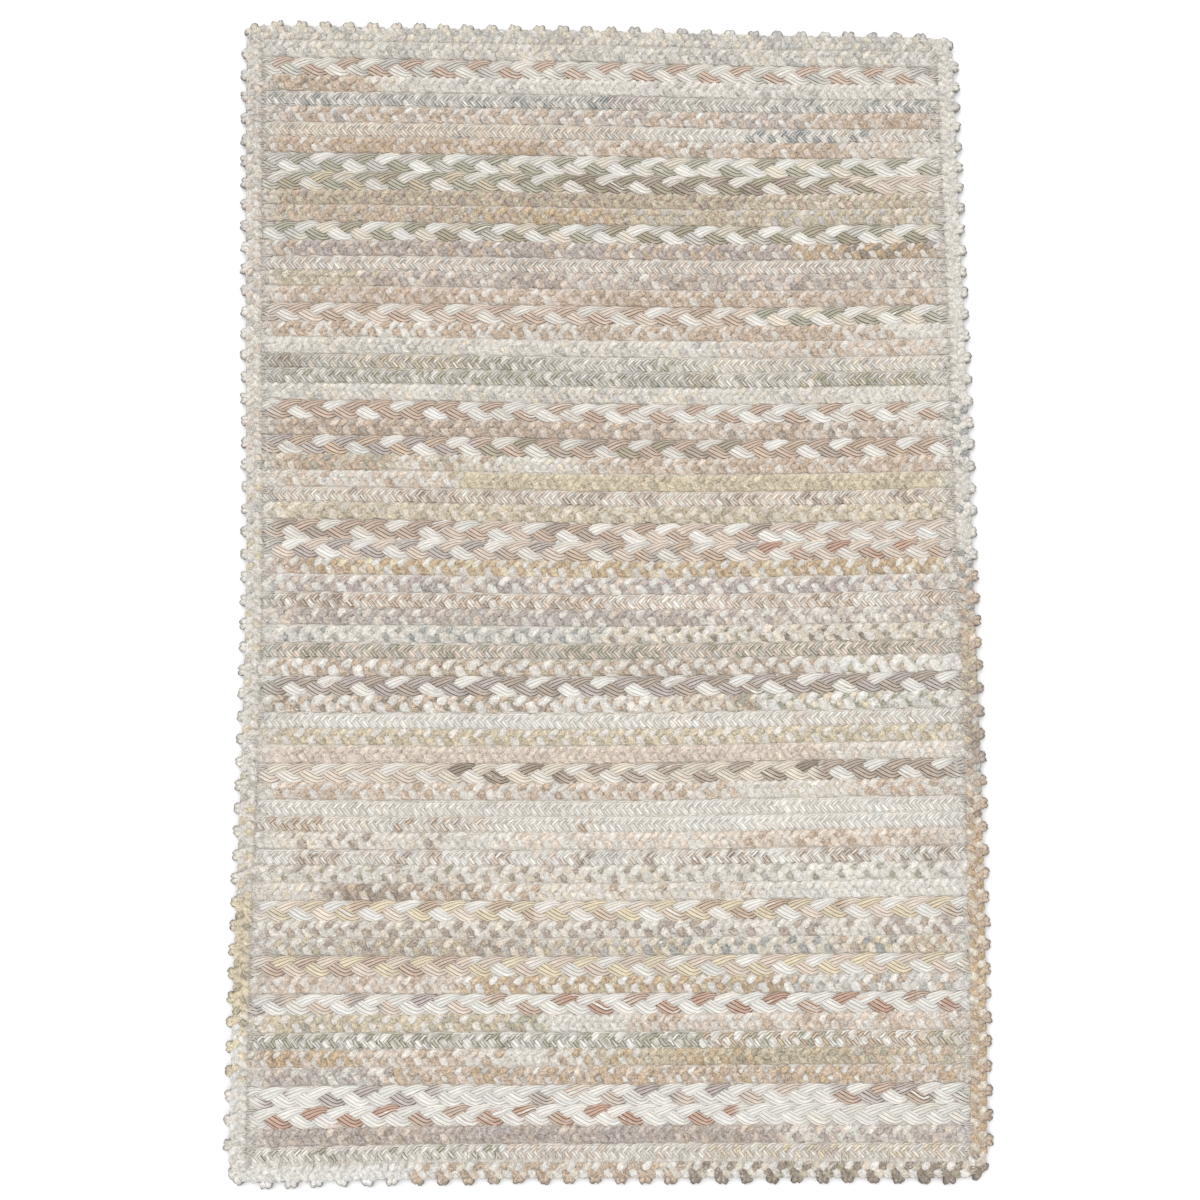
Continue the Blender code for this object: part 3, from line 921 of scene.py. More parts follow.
@dataclass(frozen=True)
class BraidKind:
    """One kind of three-strand braid."""

    name: str
    width: float            # of the course, as laced
    height: float
    period: float           # the length after which a strand is back at the same place
    sway: float             # how far a strand's middle goes to either side
    lift: float             # how far it goes up and down
    half_width: float       # of a strand
    half_height: float
    section: Section
    finish: YarnFinish
    colouring: Colouring
    yarns: int = 0          # that show side by side on a bundle
    furrow: float = 0.20    # depth of the furrows between them, as a share of the half height
    puff: float = 0.10      # how much a strand swells where it lies on top
    pinch: float = 0.0      # how much it narrows where it turns back
    lean: float = 0.0       # how much longer it goes to the left side than to the right one
    corner: float = 0.8     # how straight it crosses the braid and how sharply it turns back
    edge_rise: float = 0.0  # how much higher it lies where it turns back
    groove: float = 8.4 * MM    # height of the lacing beside it
    seam: float = 0.0       # how far the seam between its two rows of lobes is off the middle
    rough: float = 0.1 * MM     # how uneven its surface is
    round_sides: int = 7
    steps: int = 10         # of a strand's tube, in a period

    @property
    def sides(self) -> int:
        """Return the number of sides of a strand's tube."""
        return 2 * self.yarns + 3 if self.section is Section.BUNDLE else self.round_sides

    def is_furrow(self, spoke: int | np.ndarray) -> bool | np.ndarray:
        """Tell whether a place round a bundle is a furrow between two of its yarns."""
        return (spoke % 2 == 0) & (spoke >= 2) & (spoke <= 2 * self.yarns - 2)

    def shade_at(self, spoke: int) -> float:
        """Return how light the painted shade leaves the dye at a place round a strand: darker at its edges, where it
        dips under the others.
        """
        if self.section is Section.BUNDLE:
            return self.colouring.crease_shade if spoke in (0, 2 * self.yarns) else 1.0
        return 1.0 - (1.0 - self.colouring.crease_shade) * abs(math.cos(TAU * spoke / self.sides)) ** 3

    def stray_at(self, spoke: int, change: np.ndarray) -> np.ndarray:
        """Return the share of stray fibres at a place round a strand.

        Args:
            spoke: the place. A roving has more of them at its edges.
            change: a smooth line between -1 and 1. A yarn of a bundle is either its own or stray.
        """
        share = self.colouring.heather
        if self.section is Section.BUNDLE:
            return 0.05 + 0.5 * (3.0 * (change - 1.0 + 2.0 * share)).clip(0.0, 1.0)
        return share * (1.0 + 0.5 * change) + 0.20 * abs(math.cos(TAU * spoke / self.sides)) ** 6

    def inside(self, across: np.ndarray) -> np.ndarray:
        """Return how far places across the braid are inside it, from 0 at its sides to 1."""
        return ((1.05 - np.abs(across) / (self.width / 2.0)) / 0.35).clip(0.0, 1.0)

    def outline(self, spoke: np.ndarray) -> tuple[np.ndarray, np.ndarray]:
        """Return how far across and up the cross-section is at each place round it, as shares of its half sizes."""
        if self.section is Section.ROVING:
            angle = TAU * spoke / self.sides
            across, up = np.cos(angle), np.sin(angle)
            return np.sign(across) * np.abs(across) ** 0.85, np.sign(up) * np.abs(up) ** 0.8
        last = 2 * self.yarns
        across = 0.84 * (1.0 - 2.0 * (spoke - 1.0) / (last - 2.0))
        up = np.sqrt(1.0 - (0.8 * across.clip(-1.0, 1.0)) ** 2) - self.furrow * self.is_furrow(spoke)
        across = np.where(spoke == 0, 1.0, np.where(spoke == last, -1.0, across))
        across = np.where(spoke == last + 1, -0.55, np.where(spoke == last + 2, 0.55, across))
        up = np.where((spoke == 0) | (spoke == last), 0.0, np.where(spoke > last, -0.8, up))
        return across, up

    def path(self, turns: np.ndarray) -> np.ndarray:
        """Return the way that a strand takes through the braid, a point for each of its turns in radians."""
        x = self.period * (turns + self.lean * np.sin(turns)) / TAU
        y = self.sway * np.arcsin(self.corner * np.sin(turns)) / math.asin(self.corner)
        z = self.height / 2.0 + self.lift * np.sin(2.0 * turns) + self.edge_rise * np.sin(turns) ** 4
        return np.c_[x, y, z]

    def strand(self, number: int, path: np.ndarray, turns: np.ndarray, count: int) -> bpy.types.Object:
        """Model one strand: a tube, shaped along its length, then bent along its path.

        Args:
            number: 0 to 2.
            path: its way through the braid, a point a row.
            turns: the strand's turn at each point.
            count: the number of the tube's rings.

        Returns:
            The strand's object.
        """
        lengths = np.r_[0.0, np.cumsum(np.linalg.norm(np.diff(path, axis=0), axis=1))]
        tube = straight_tube(lengths[-1], count, self.sides)
        map_tube(tube, self.sides)
        spoke = spokes_of(tube, self.sides)
        points = points_of(tube)
        ring = np.round(points[:, 0] / lengths[-1] * count)
        turn = np.interp(points[:, 0], lengths, turns)
        across, up = self.outline(spoke)
        swell = 1.0 + self.puff * np.cos(2.0 * turn - math.pi / 3.0)
        narrow = 1.0 - self.pinch * np.sin(turn) ** 4
        points[:, 1] = across * self.half_width * narrow * swell
        points[:, 2] = up * self.half_height * swell
        move_points(tube, points)
        store_numbers(tube, "strand_number", np.full(len(points), float(number)))
        store_numbers(tube, "spoke", spoke.astype(float))
        store_numbers(tube, "ring", ring)
        lay_along(tube, path)
        return tube

    def pattern(self, length: float) -> bpy.types.Object:
        """Model a straight braid of this kind, a little longer than needed at both ends."""
        periods = math.ceil(length / self.period) + 4
        turns = TAU * np.arange(periods * PATH_STEPS + 1) / PATH_STEPS - 2.0 * TAU
        strands = []
        for number in range(3):
            path = self.path(turns)
            path[:, 0] -= self.period * number / 3.0
            strands.append(self.strand(number, path, turns, periods * self.steps))
        return join(strands, f"{self.name}_pattern")

    def roughen(self, points: np.ndarray, rng: np.random.Generator) -> np.ndarray:
        """Make a braid's surface uneven, as its tufts are."""
        return points + self.rough * rng.uniform(-1.0, 1.0, points.shape)


PATH_STEPS = 48     # points of a strand's path in a period
CHENILLE = BraidKind(
    name="chenille", width=17.6 * MM, height=11.0 * MM, period=26.0 * MM, sway=6.0 * MM, lift=1.6 * MM,
    half_width=4.7 * MM, half_height=3.5 * MM, edge_rise=1.3 * MM, seam=0.9 * MM, rough=0.75 * MM, steps=9,
    section=Section.ROVING, finish=CHENILLE_FINISH,
    colouring=Colouring(heather=0.12, spread=0.11, crease_shade=0.66, light=1.12),
)
FLAT = BraidKind(
    name="flat", width=20.2 * MM, height=9.4 * MM, period=71.0 * MM, sway=7.6 * MM, lift=1.5 * MM,
    half_width=5.8 * MM, half_height=2.5 * MM, edge_rise=1.2 * MM, groove=6.4 * MM, seam=1.4 * MM, yarns=4,
    puff=0.10, pinch=0.10, lean=0.12, corner=0.98, steps=18, section=Section.BUNDLE, finish=COTTON_FINISH,
    colouring=Colouring(
        change=0.02, fleck=30 * MM, run=24 * MM, spread=0.11, heather=0.15, crease_shade=0.74, dip_shade=0.5, light=1.165
    ),
)
FINE = BraidKind(
    name="fine", width=16.3 * MM, height=10.0 * MM, period=23.7 * MM, sway=6.1 * MM, lift=1.5 * MM,
    half_width=3.6 * MM, half_height=2.9 * MM, edge_rise=1.1 * MM, groove=7.2 * MM, seam=0.5 * MM, yarns=3,
    puff=0.06, lean=0.10, corner=0.97, rough=0.25 * MM, section=Section.BUNDLE, finish=FINE_FINISH,
    colouring=Colouring(run=7 * MM, spread=0.19, heather=0.42, crease_shade=0.55, dip_shade=0.3, light=1.20),
)
EDGING = BraidKind(
    name="edging", width=BORDER_WIDTH, height=11.0 * MM, period=24.6 * MM, sway=5.4 * MM, lift=1.6 * MM,
    half_width=4.6 * MM, half_height=3.5 * MM, edge_rise=0.9 * MM, rough=0.65 * MM,
    section=Section.ROVING, finish=CHENILLE_FINISH,
    colouring=Colouring(heather=0.12, spread=0.10, crease_shade=0.70, light=1.10),
)
KIND_OF_LETTER = {"C": CHENILLE, "F": FLAT, "N": FINE}


@dataclass(frozen=True)
class Course:
    """One braid of the field."""

    number: int                         # from the far end
    kind: BraidKind
    stretches: tuple[Stretch, ...]
    along: float                        # its middle, as a share of the field's length

    def build(self, plan: Plan, pattern: bpy.types.Object) -> bpy.types.Object:
        """Copy the kind's braid, cut it to length, press its ends, dye it with painted shade and light, and lay it.

        Args:
            plan: the rug seen from above.
            pattern: a straight braid of this kind.

        Returns:
            The course's object.
        """
        rng = np.random.default_rng(100 + self.number)
        line = plan.course_line(self.along)
        length = float(np.linalg.norm(np.diff(line, axis=0), axis=1).sum())
        course = pattern.copy()
        course.data = pattern.data.copy()
        course.name = course.data.name = f"course_{self.number:02d}"
        bpy.context.scene.collection.objects.link(course)
        points = points_of(course)
        points[:, 0] -= rng.uniform(0.0, 1.0) * self.kind.period
        points[:, 0] += 2.0 * MM * wander(np.maximum(points[:, 0], 0.0), 90 * MM, rng)
        move_points(course, points)
        cut_across(course, 0.0, keep_right=True)
        cut_across(course, length, keep_right=False)
        points = points_of(course)
        strand = np.round(read_numbers(course, "strand_number")).astype(int)
        spoke = np.round(read_numbers(course, "spoke")).astype(int) % self.kind.sides
        inside = self.kind.inside(points[:, 1])
        own, other = dye_and_shade(self.stretches, length, points[:, 0], strand, self.kind, spoke, inside, rng)
        # painted shade: a strand is darker where it lies low, going under the others
        low = (2.0 - 2.5 * points[:, 2] / self.kind.height).clip(0.0, 1.0)
        own[:, :3] *= (1.0 - self.kind.colouring.dip_shade * low * own[:, 3])[:, None]
        paler = self.frost(points[:, 0], length, rng)
        for colours in (own, other):
            colours[:, :3] += (Yarn.ivory.linear() - colours[:, :3]) * paler
        store_colours(course, own, other)
        points = self.plump(points, strand, np.round(read_numbers(course, "ring")), length, rng)
        move_points(course, self.settle(points, strand, length, rng))
        lay_along(course, line)
        return course

    def plump(
        self, points: np.ndarray, strand: np.ndarray, ring: np.ndarray, length: float, rng: np.random.Generator
    ) -> np.ndarray:
        """Make the strands as thick as their yarns are.

        Args:
            points: the straight braid's vertices.
            strand: each vertex's strand, 0 to 2.
            ring: the number of its ring of the strand's tube.
            length: the braid's length.
            rng: the random numbers.

        Returns:
            The vertices' new places.
        """
        _, group = np.unique(strand * 10000 + ring, return_inverse=True)
        sizes = np.bincount(group)
        centres = np.c_[[np.bincount(group, weights=points[:, axis]) / sizes for axis in range(3)]].T[group]
        grid = np.arange(-20 * MM, length + 20 * MM, 2.0 * MM)
        ends = [stretch.until for stretch in self.stretches[:-1]]
        which = np.searchsorted(ends, grid / length)
        thick = np.ones(len(points))
        for number in range(3):
            bulk = np.array([stretch.bulks[number] for stretch in self.stretches])[which]
            bulk = np.convolve(np.pad(bulk, 3, mode="edge"), np.full(7, 1.0 / 7.0), mode="valid")
            mine = strand == number
            x = points[mine, 0]
            thick[mine] = np.interp(x, grid, bulk) * (1.0 + 0.07 * wander(x, 12 * MM, rng))
        return centres + (points - centres) * thick[:, None]

    @staticmethod
    def frost(x: np.ndarray, length: float, rng: np.random.Generator) -> np.ndarray:
        """Return how far a course's ends are as pale as the thread that sews them, a row for each vertex."""
        from_end = np.minimum(x, length - x) / TUCK_LENGTH
        return (0.8 * (1.7 - from_end).clip(0.0, 1.0) * rng.uniform(0.35, 1.0, len(x)))[:, None]

    def settle(
        self, points: np.ndarray, strand: np.ndarray, length: float, rng: np.random.Generator
    ) -> np.ndarray:
        """Make a straight course as uneven as a laced one, and press its sides and its ends."""
        points = self.kind.roughen(points, rng)
        x = points[:, 0] = points[:, 0].clip(0.0, length)
        overlap = np.full(len(x), LACED_OVERLAP)
        for number in range(3):
            mine = strand == number
            overlap[mine] *= 1.0 + 0.6 * wander(x[mine], 8 * MM, rng)
            points[mine, 1] += 0.35 * MM * wander(x[mine], 9 * MM, rng)
            points[mine, 2] *= 1.0 + 0.04 * wander(x[mine], 11 * MM, rng)
        points[:, 1] += 0.4 * MM * wander(x, 70 * MM, rng)
        half = self.kind.width / 2.0
        points[:, 1] += self.kind.seam * (1.0 - (points[:, 1] / half) ** 2).clip(0.0)
        limit = half + overlap
        beyond = (np.abs(points[:, 1]) - 0.8 * limit).clip(0.0) / (0.2 * limit)
        pressed = 0.8 * limit + 0.2 * limit * (1.0 - np.exp(-beyond))
        points[:, 1] = np.where(beyond > 0.0, np.sign(points[:, 1]) * pressed, points[:, 1])
        from_end = np.minimum(x, length - x).clip(0.0, TUCK_LENGTH) / TUCK_LENGTH
        points[:, 2] *= TUCK_HEIGHT + (1.0 - TUCK_HEIGHT) * from_end * (2.0 - from_end)
        points[:, 2] = points[:, 2].clip(0.1 * MM, self.kind.height)
        return points


@dataclass(frozen=True)
class Field:
    """The courses, laid side by side from the far end to the near end."""

    courses: tuple[Course, ...]
    plan: Plan

    @classmethod
    def from_chart(cls, rows: tuple[str, ...]) -> "Field":
        """Read the courses from the chart."""
        words = [row.split() for row in rows]
        kinds = [KIND_OF_LETTER[row[0]] for row in words]
        length = sum(kind.width for kind in kinds)
        courses = []
        edge = length
        for number, (kind, row) in enumerate(zip(kinds, words), start=1):
            along = (edge - kind.width / 2.0) / length
            courses.append(Course(number, kind, read_stretches(row[1:]), along))
            edge -= kind.width
        return cls(tuple(courses), Plan(length))

    def build(self) -> list[bpy.types.Object]:
        """Model each kind's braid once, and lay every course from a copy of it."""
        longest = max(station.right - station.left for station in SIDE_STATIONS) + 20 * MM
        patterns = {kind.name: kind.pattern(longest) for kind in KIND_OF_LETTER.values()}
        pieces = []
        for course in self.courses:
            piece = course.build(self.plan, patterns[course.kind.name])
            finish_piece(piece, course.kind.finish)
            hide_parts("field")
            pieces.append(piece)
        for pattern in patterns.values():
            bpy.data.objects.remove(pattern)
        return pieces


@dataclass(frozen=True)
class Border:
    """The chenille braid round the field, whose bulky strand stands out in picots."""

    plan: Plan
    kind: BraidKind = EDGING
    inner_overlap: float = 2.0 * MM     # how far its inner lobes lie over the courses' ends
    knuckle_radius: float = 4.2 * MM
    knuckle_root: float = 5.0 * MM      # how far inside the edge a knuckle starts
    knuckle_sides: int = 7
    knuckle_steps: int = 6

    @property
    def count(self) -> int:
        """Return the number of picots, with one at each corner."""
        return sum(side.picots for side in SIDES) + len(SIDES)

    def build(self) -> bpy.types.Object:
        """Model the straight braid with its picots, dye it with painted shade, and lay it round the rug."""
        rng = np.random.default_rng(7)
        knuckles = [self.knuckles(way, rng) for way in (-1.0, 1.0)]
        border = join([self.closed_strand(number) for number in range(3)] + knuckles, "border_braid")
        line, passed = self.plan.border_line(GAP + BORDER_WIDTH / 2.0)
        lengths = np.r_[0.0, np.cumsum(np.linalg.norm(np.diff(np.r_[line, line[:1]], axis=0), axis=1))]
        passed = np.r_[passed, self.count]
        points = points_of(border)
        along = points[:, 0] / self.kind.period
        strand = np.round(read_numbers(border, "strand_number")).astype(int)
        spoke = np.round(read_numbers(border, "spoke")).astype(int) % self.kind.sides
        outer = -self.kind.width / 2.0
        stands_out = (outer - points[:, 1]).clip(0.0) / PICOT_REACH
        own, other = self.dye_and_shade(along, strand, spoke, self.kind.inside(points[:, 1]), rng)
        # painted shade: the picots' tips and the border's low outer side are darker, as the shade at the rug's edge
        under = ((9.4 * MM - points[:, 2]) / (4.0 * MM)).clip(0.0, 1.0) * (points[:, 1] < 0.85 * outer)
        darker = ((1.0 - 0.30 * stands_out.clip(0.0, 1.0) ** 2) * (1.0 - 0.88 * under))[:, None]
        own[:, :3] *= darker
        other[:, :3] *= darker
        store_colours(border, own, other)
        seam = (points[:, 0] < 0.5 * MM) | (points[:, 0] > self.count * self.kind.period - 0.5 * MM)
        rough = self.kind.roughen(points, rng)
        points = np.where(seam[:, None], points, rough)
        inner = self.kind.width / 2.0 + self.inner_overlap * (1.0 + 0.8 * wander(points[:, 0].clip(0.0), 6 * MM, rng))
        is_knuckle = read_numbers(border, "knuckle") > 0.5
        points[:, 1] = points[:, 1].clip(np.where(is_knuckle, outer - PICOT_REACH, outer), inner)
        along = points[:, 0] / self.kind.period
        points[:, 0] = np.interp(along, passed, lengths)
        outside = (along < 0.0) | (along > self.count)
        points[outside, 0] += (along[outside] - along[outside].clip(0.0, self.count)) * self.kind.period
        points[:, 2] = points[:, 2].clip(0.1 * MM, self.kind.height)
        move_points(border, points)
        lay_along(border, line, closed=True)
        pick(border)
        bpy.ops.object.mode_set(mode="EDIT")
        bpy.ops.mesh.select_all(action="SELECT")
        bpy.ops.mesh.remove_doubles(threshold=0.1 * MM)
        bpy.ops.object.mode_set(mode="OBJECT")
        return border

    def closed_strand(self, number: int) -> bpy.types.Object:
        """Model a strand of the border, a whole number of periods long."""
        turns = TAU * np.arange(self.count * PATH_STEPS + 1) / PATH_STEPS
        phase = turns - TAU / 4.0 + TAU * number / 3.0
        path = self.kind.path(phase)
        # Out of the rug is to the right of the way round, which is -Y on the straight braid.
        path[:, 1] *= -1.0
        path[:, 0] = self.kind.period * turns / TAU
        strand = self.kind.strand(number, path, phase, self.count * self.kind.steps)
        store_numbers(strand, "knuckle", np.zeros(len(strand.data.vertices)))
        return strand

    def knuckles(self, way: float, rng: np.random.Generator) -> bpy.types.Object:
        """Model one of a picot's two knuckles, and repeat it along the braid.

        Args:
            way: -1.0 for the first knuckle of each picot, 1.0 for the second.
            rng: the random numbers.

        Returns:
            The knuckles' object.
        """
        edge = -self.kind.width / 2.0
        length = self.knuckle_root + PICOT_REACH
        knuckle = straight_tube(length, self.knuckle_steps, self.knuckle_sides)
        map_tube(knuckle, self.knuckle_sides)
        spoke = spokes_of(knuckle, self.knuckle_sides)
        points = points_of(knuckle)
        along = points[:, 0] / length
        radius = self.knuckle_radius * np.sqrt(1.0 - 0.94 * ((along - 0.3).clip(0.0) / 0.7) ** 2.6)
        angle = TAU * spoke / self.knuckle_sides
        across, up = np.cos(angle) * radius, np.sin(angle) * radius
        centre = way * 0.5 * self.knuckle_radius
        move_points(knuckle, np.c_[across + centre, edge + self.knuckle_root - points[:, 0], up + 5.4 * MM])
        store_numbers(knuckle, "strand_number", np.zeros(len(points)))
        store_numbers(knuckle, "spoke", spoke.astype(float))
        store_numbers(knuckle, "knuckle", np.ones(len(points)))
        pick(knuckle)
        bpy.ops.object.mode_set(mode="EDIT")
        bpy.ops.mesh.select_all(action="SELECT")
        bpy.ops.mesh.fill_holes(sides=0)
        bpy.ops.object.mode_set(mode="OBJECT")
        repeat_along_x(knuckle, self.count, self.kind.period, merge=False)
        points = points_of(knuckle).reshape(self.count, -1, 3)
        points[:, :, 0] += 0.5 * self.kind.period
        out = (edge - points[:, :, 1]).clip(0.0)
        reach = rng.uniform(0.72, 1.0, (self.count, 1))
        slant = rng.uniform(-0.20, 0.20, (self.count, 1)) + 0.06 * way
        points[:, :, 1] += out * (1.0 - reach)
        points[:, :, 0] += out * slant
        move_points(knuckle, points.reshape(-1, 3))
        return knuckle

    def dye_and_shade(
        self, along: np.ndarray, strand: np.ndarray, spoke: np.ndarray, inside: np.ndarray, rng: np.random.Generator
    ) -> tuple[np.ndarray, np.ndarray]:
        """Work out the border's colours, with their painted shade, side by side round the rug."""
        own, other = np.zeros((len(along), 4)), np.zeros((len(along), 4))
        start = 0.0
        for side, row in zip(SIDES, BORDER_CHART):
            end = start + side.picots + 1
            here = (along >= start - 2.0) & (along <= end + 2.0) if side is SIDES[0] else (along >= start)
            offset = (along[here] - start).clip(0.0) * self.kind.period
            length = (end - start) * self.kind.period
            stretches = read_stretches(row.split())
            own[here], other[here] = dye_and_shade(
                stretches, length, offset, strand[here], self.kind, spoke[here], inside[here], rng
            )
            start = end
        return own, other


@dataclass(frozen=True)
class Sewing:
    """The whitish thread that sews the border over the courses' ends, in slanting stitches all round."""

    plan: Plan
    reach_in: float = 14.0 * MM         # onto the courses
    reach_out: float = 9.0 * MM         # onto the border
    pitch: float = 3.2 * MM             # between two stitches
    radius: float = 0.5 * MM
    stitch_steps: int = 5
    sides: int = 4
    cell: float = 2.5 * MM              # of the grid that the thread's height is read from

    def build(self, pieces: list[bpy.types.Object]) -> bpy.types.Object:
        """Lay the thread over the pieces that it sews.

        Args:
            pieces: the courses and the border.

        Returns:
            The thread's object.
        """
        rng = np.random.default_rng(11)
        inside, _ = self.plan.border_line(GAP - self.reach_in)
        outside, _ = self.plan.border_line(GAP + self.reach_out)
        lengths = np.r_[0.0, np.cumsum(np.linalg.norm(np.diff(inside, axis=0), axis=1))]
        stitches = int(lengths[-1] / self.pitch)
        total = stitches * self.stitch_steps
        along = np.arange(total) / total * lengths[-1]
        share = np.abs((np.arange(total) / self.stitch_steps) % 1.0 - 0.5) * 2.0
        share = share * np.repeat(rng.uniform(0.45, 1.0, stitches), self.stitch_steps)
        along += self.pitch * (0.8 * share + 0.3 * np.repeat(rng.uniform(-1.0, 1.0, stitches), self.stitch_steps))
        near = np.c_[[np.interp(along, lengths, inside[:, axis]) for axis in (0, 1)]].T
        far = np.c_[[np.interp(along, lengths, outside[:, axis]) for axis in (0, 1)]].T
        place = near * share[:, None] + far * (1.0 - share[:, None])
        height = self.heights(pieces, place) + 1.6 * self.radius
        line = np.c_[place, height.clip(0.0, 11.0 * MM - self.radius)]
        length = float(np.linalg.norm(np.diff(line, axis=0), axis=1).sum())
        thread = straight_tube(length, total, self.sides)
        map_tube(thread, self.sides)
        points = points_of(thread)
        points[:, 1:] *= self.radius / (1.0 * MM)
        move_points(thread, points)
        pick(thread)
        bpy.ops.object.mode_set(mode="EDIT")
        bpy.ops.mesh.select_all(action="SELECT")
        bpy.ops.mesh.fill_holes(sides=0)
        bpy.ops.object.mode_set(mode="OBJECT")
        lay_along(thread, line)
        thread.name = thread.data.name = "sewing"
        tone = rng.uniform(0.8, 1.15, (len(thread.data.vertices), 1))
        blush = rng.uniform(0.0, 0.7, (len(thread.data.vertices), 1))
        plain = np.c_[tone * (Yarn.ivory.linear() * (1.0 - blush) + Yarn.blush.linear() * blush), np.zeros(len(tone))]
        store_colours(thread, plain, plain)
        return thread

    def heights(self, pieces: list[bpy.types.Object], place: np.ndarray) -> np.ndarray:
        """Return the height of the pieces' surface at some places, from their highest vertex in each grid cell."""
        corner = np.array(CAD_BOX[0][:2]) - 0.02
        size = ((np.array(CAD_BOX[1][:2]) + 0.02 - corner) / self.cell).astype(int) + 2
        grid = np.full(size, 4.0 * MM)
        for piece in pieces:
            points = points_of(piece)
            cells = ((points[:, :2] - corner) / self.cell).astype(int)
            np.maximum.at(grid, (cells[:, 0], cells[:, 1]), points[:, 2])
        cells = ((place - corner) / self.cell).astype(int)
        return grid[cells[:, 0], cells[:, 1]]


@dataclass(frozen=True)
class Lacing:
    """The thin web of lacing thread under and between the braids."""

    plan: Plan
    courses: tuple[Course, ...]
    margin: float = 8.0 * MM            # how far it reaches under the border
    low: float = 3.2 * MM               # its height under the middle of a course
    edge: float = 9.2 * MM              # its height at the field's near and far edges
    thickness: float = 1.8 * MM
    columns: int = 16

    def build(self) -> bpy.types.Object:
        """Shape a grid into low ribs, one under each course, and give it its thickness."""
        rows = self.rows()
        bpy.ops.object.select_all(action="DESELECT")
        bpy.ops.mesh.primitive_grid_add(x_subdivisions=self.columns, y_subdivisions=len(rows) - 1, size=1.0)
        web = bpy.context.object
        web.name = web.data.name = "lacing"
        bpy.ops.object.transform_apply(location=True, rotation=True, scale=True)
        reach = self.margin / 0.73
        points = points_of(web)
        for point in points:
            across = -reach + (point[0] + 0.5) * (1.0 + 2.0 * reach)
            along, height = rows[round((point[1] + 0.5) * (len(rows) - 1))]
            place = self.plan.point(across, along)
            point[:] = (place.x, place.y, height)
        move_points(web, points)
        solid = web.modifiers.new("thickness", "SOLIDIFY")
        solid.thickness = self.thickness
        solid.offset = -1.0
        apply_modifier(web, solid)
        layer = web.data.uv_layers[0]
        layer.name = "strand"
        plain = np.tile(np.r_[Yarn.cream.linear(), 0.0], (len(web.data.vertices), 1))
        store_colours(web, plain, plain)
        return web

    def rows(self) -> list[tuple[float, float]]:
        """Return the ribs' lines, as (share of the length, height), from the near end."""
        length = self.plan.length
        rows = [(-self.margin / length, self.low), (0.0, self.edge)]
        courses = self.courses[::-1]
        for course, following in zip(courses, [*courses[1:], None]):
            half = course.kind.width / 2.0 / length
            height = min(course.kind.groove, following.kind.groove) if following else self.edge
            rows += [(course.along, self.low), (course.along + half, height)]
        return rows + [(1.0 + self.margin / length, self.low)]


def finish_piece(piece: bpy.types.Object, finish: YarnFinish) -> None:
    """Give a piece its finish and its place in the frame.

    Args:
        piece: the finished mesh object.
        finish: its surface.
    """
    piece.data.materials.clear()
    piece.data.materials.append(finish.material())
    piece.data.shade_smooth()
    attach(piece, "root")
    LOG.info("%s: %d faces, %s", piece.name, len(piece.data.polygons), finish.name)


# ---- Camera, light and floor -------------------------------------------------------------------------------

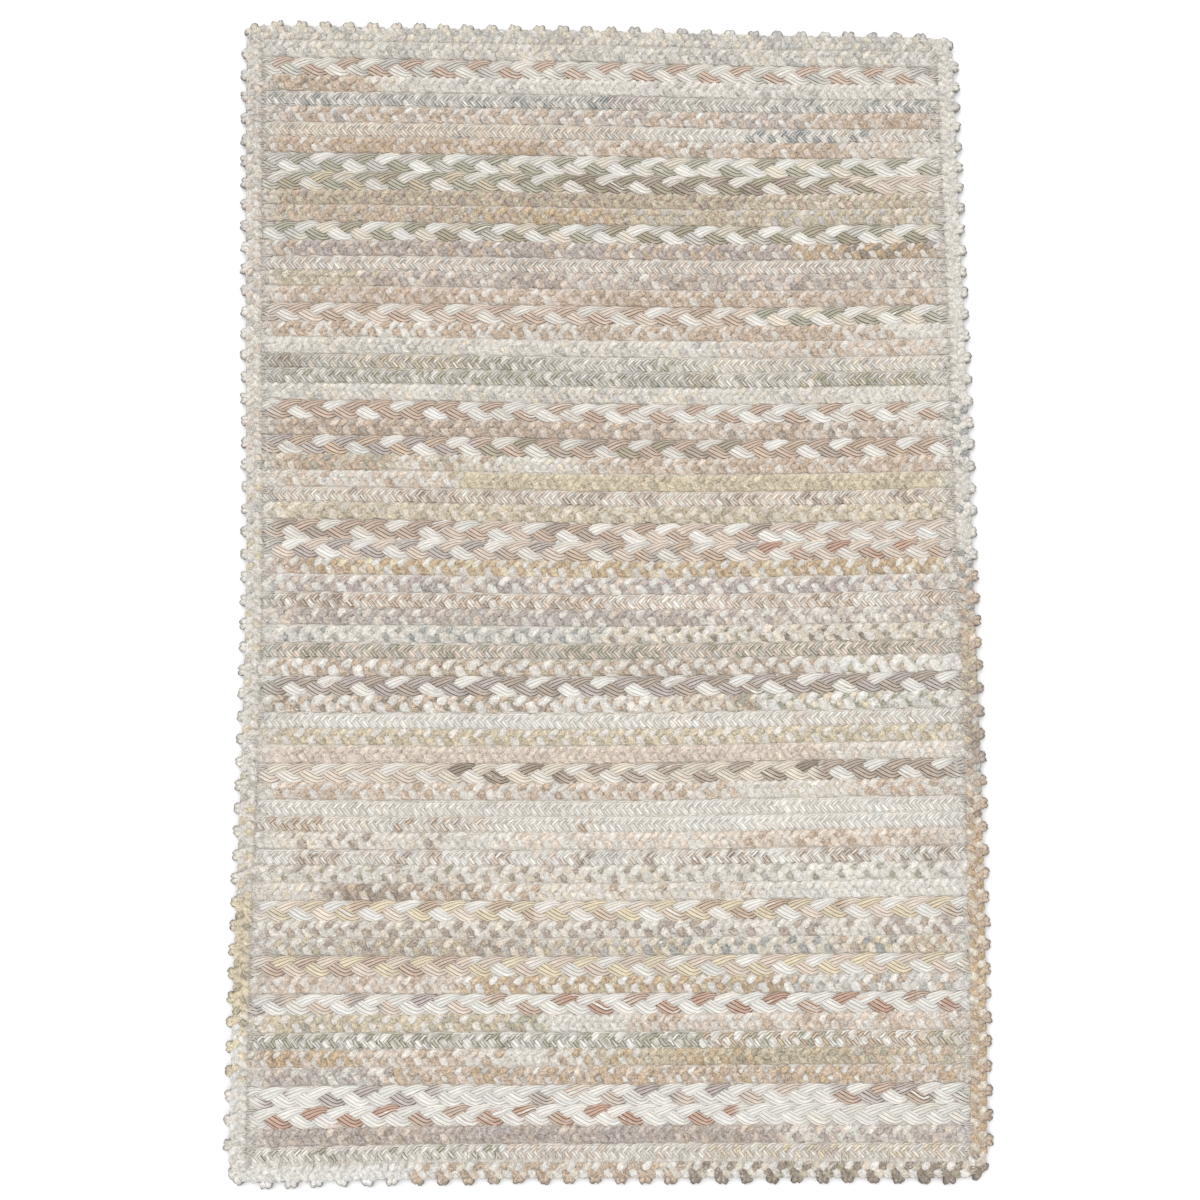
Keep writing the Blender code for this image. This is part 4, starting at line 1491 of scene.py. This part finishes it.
@dataclass(frozen=True)
class Studio:
    """A pale floor, soft light from above and the camera almost over the rug."""

    lens: float = 50.0                          # millimetres, on a 36 mm sensor
    distance: float = 1.743
    tilt: float = math.radians(6.26)            # from straight down
    look_at: tuple[float, float] = (-5.3 * MM, -17.9 * MM)
    floor_size: float = 12.0

    def build(self) -> None:
        """Add the camera, the lights and the floor."""
        self.add_camera()
        self.add_lights()
        self.add_floor()

    def add_camera(self) -> None:
        """Put the camera over the near half of the rug, looking down and a little ahead."""
        data = bpy.data.cameras.new("camera")
        data.lens = self.lens
        data.sensor_width = 36.0
        camera = bpy.data.objects.new("camera", data)
        x, y = self.look_at
        camera.location = (x, y - self.distance * math.sin(self.tilt), self.distance * math.cos(self.tilt))
        camera.rotation_euler = (self.tilt, 0.0, 0.0)
        bpy.context.scene.collection.objects.link(camera)
        bpy.context.scene.camera = camera

    def add_lights(self) -> None:
        """Add an even pale sky and two broad suns."""
        world = bpy.data.worlds.new("studio")
        world.use_nodes = True
        sky = world.node_tree.nodes["Background"]
        sky.inputs["Color"].default_value = (1.0, 0.995, 0.985, 1.0)
        sky.inputs["Strength"].default_value = 0.86
        bpy.context.scene.world = world
        self.add_sun("key", strength=1.35, angle=0.9, elevation=62.0, azimuth=135.0)
        self.add_sun("fill", strength=0.35, angle=1.4, elevation=55.0, azimuth=-40.0)

    @staticmethod
    def add_sun(name: str, strength: float, angle: float, elevation: float, azimuth: float) -> None:
        """Add one broad sun.

        Args:
            name: the light's name.
            strength: its irradiance.
            angle: how broad it is, in radians.
            elevation: its height in degrees.
            azimuth: where it stands, in degrees from +X towards +Y.
        """
        data = bpy.data.lights.new(name, "SUN")
        data.energy = strength
        data.angle = angle
        sun = bpy.data.objects.new(name, data)
        sun.rotation_euler = (0.0, math.radians(90.0 - elevation), math.radians(azimuth))
        bpy.context.scene.collection.objects.link(sun)

    def add_floor(self) -> None:
        """Add the plain pale floor."""
        bpy.ops.object.select_all(action="DESELECT")
        bpy.ops.mesh.primitive_plane_add(size=self.floor_size, location=(0.0, 0.0, 0.0))
        floor = bpy.context.object
        floor.name = "floor"
        material = bpy.data.materials.new("floor")
        material.use_nodes = True
        shader = material.node_tree.nodes["Principled BSDF"]
        shader.inputs["Base Color"].default_value = (0.93, 0.93, 0.93, 1.0)
        shader.inputs["Roughness"].default_value = 0.9
        floor.data.materials.append(material)


def main() -> None:
    """Build the rug's looks and the studio round it."""
    logging.basicConfig(level=logging.INFO, format="%(name)s: %(message)s")
    bpy.context.scene.view_settings.view_transform = "Standard"
    Studio().build()
    field = Field.from_chart(COURSE_CHART)
    courses = field.build()
    border = Border(field.plan).build()
    finish_piece(border, CHENILLE_FINISH)
    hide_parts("border")
    thread = Sewing(field.plan).build([*courses, border])
    finish_piece(thread, THREAD_FINISH)
    web = Lacing(field.plan, field.courses).build()
    finish_piece(web, CHENILLE_FINISH)
    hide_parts("field")


if __name__ == "__main__":
    main()
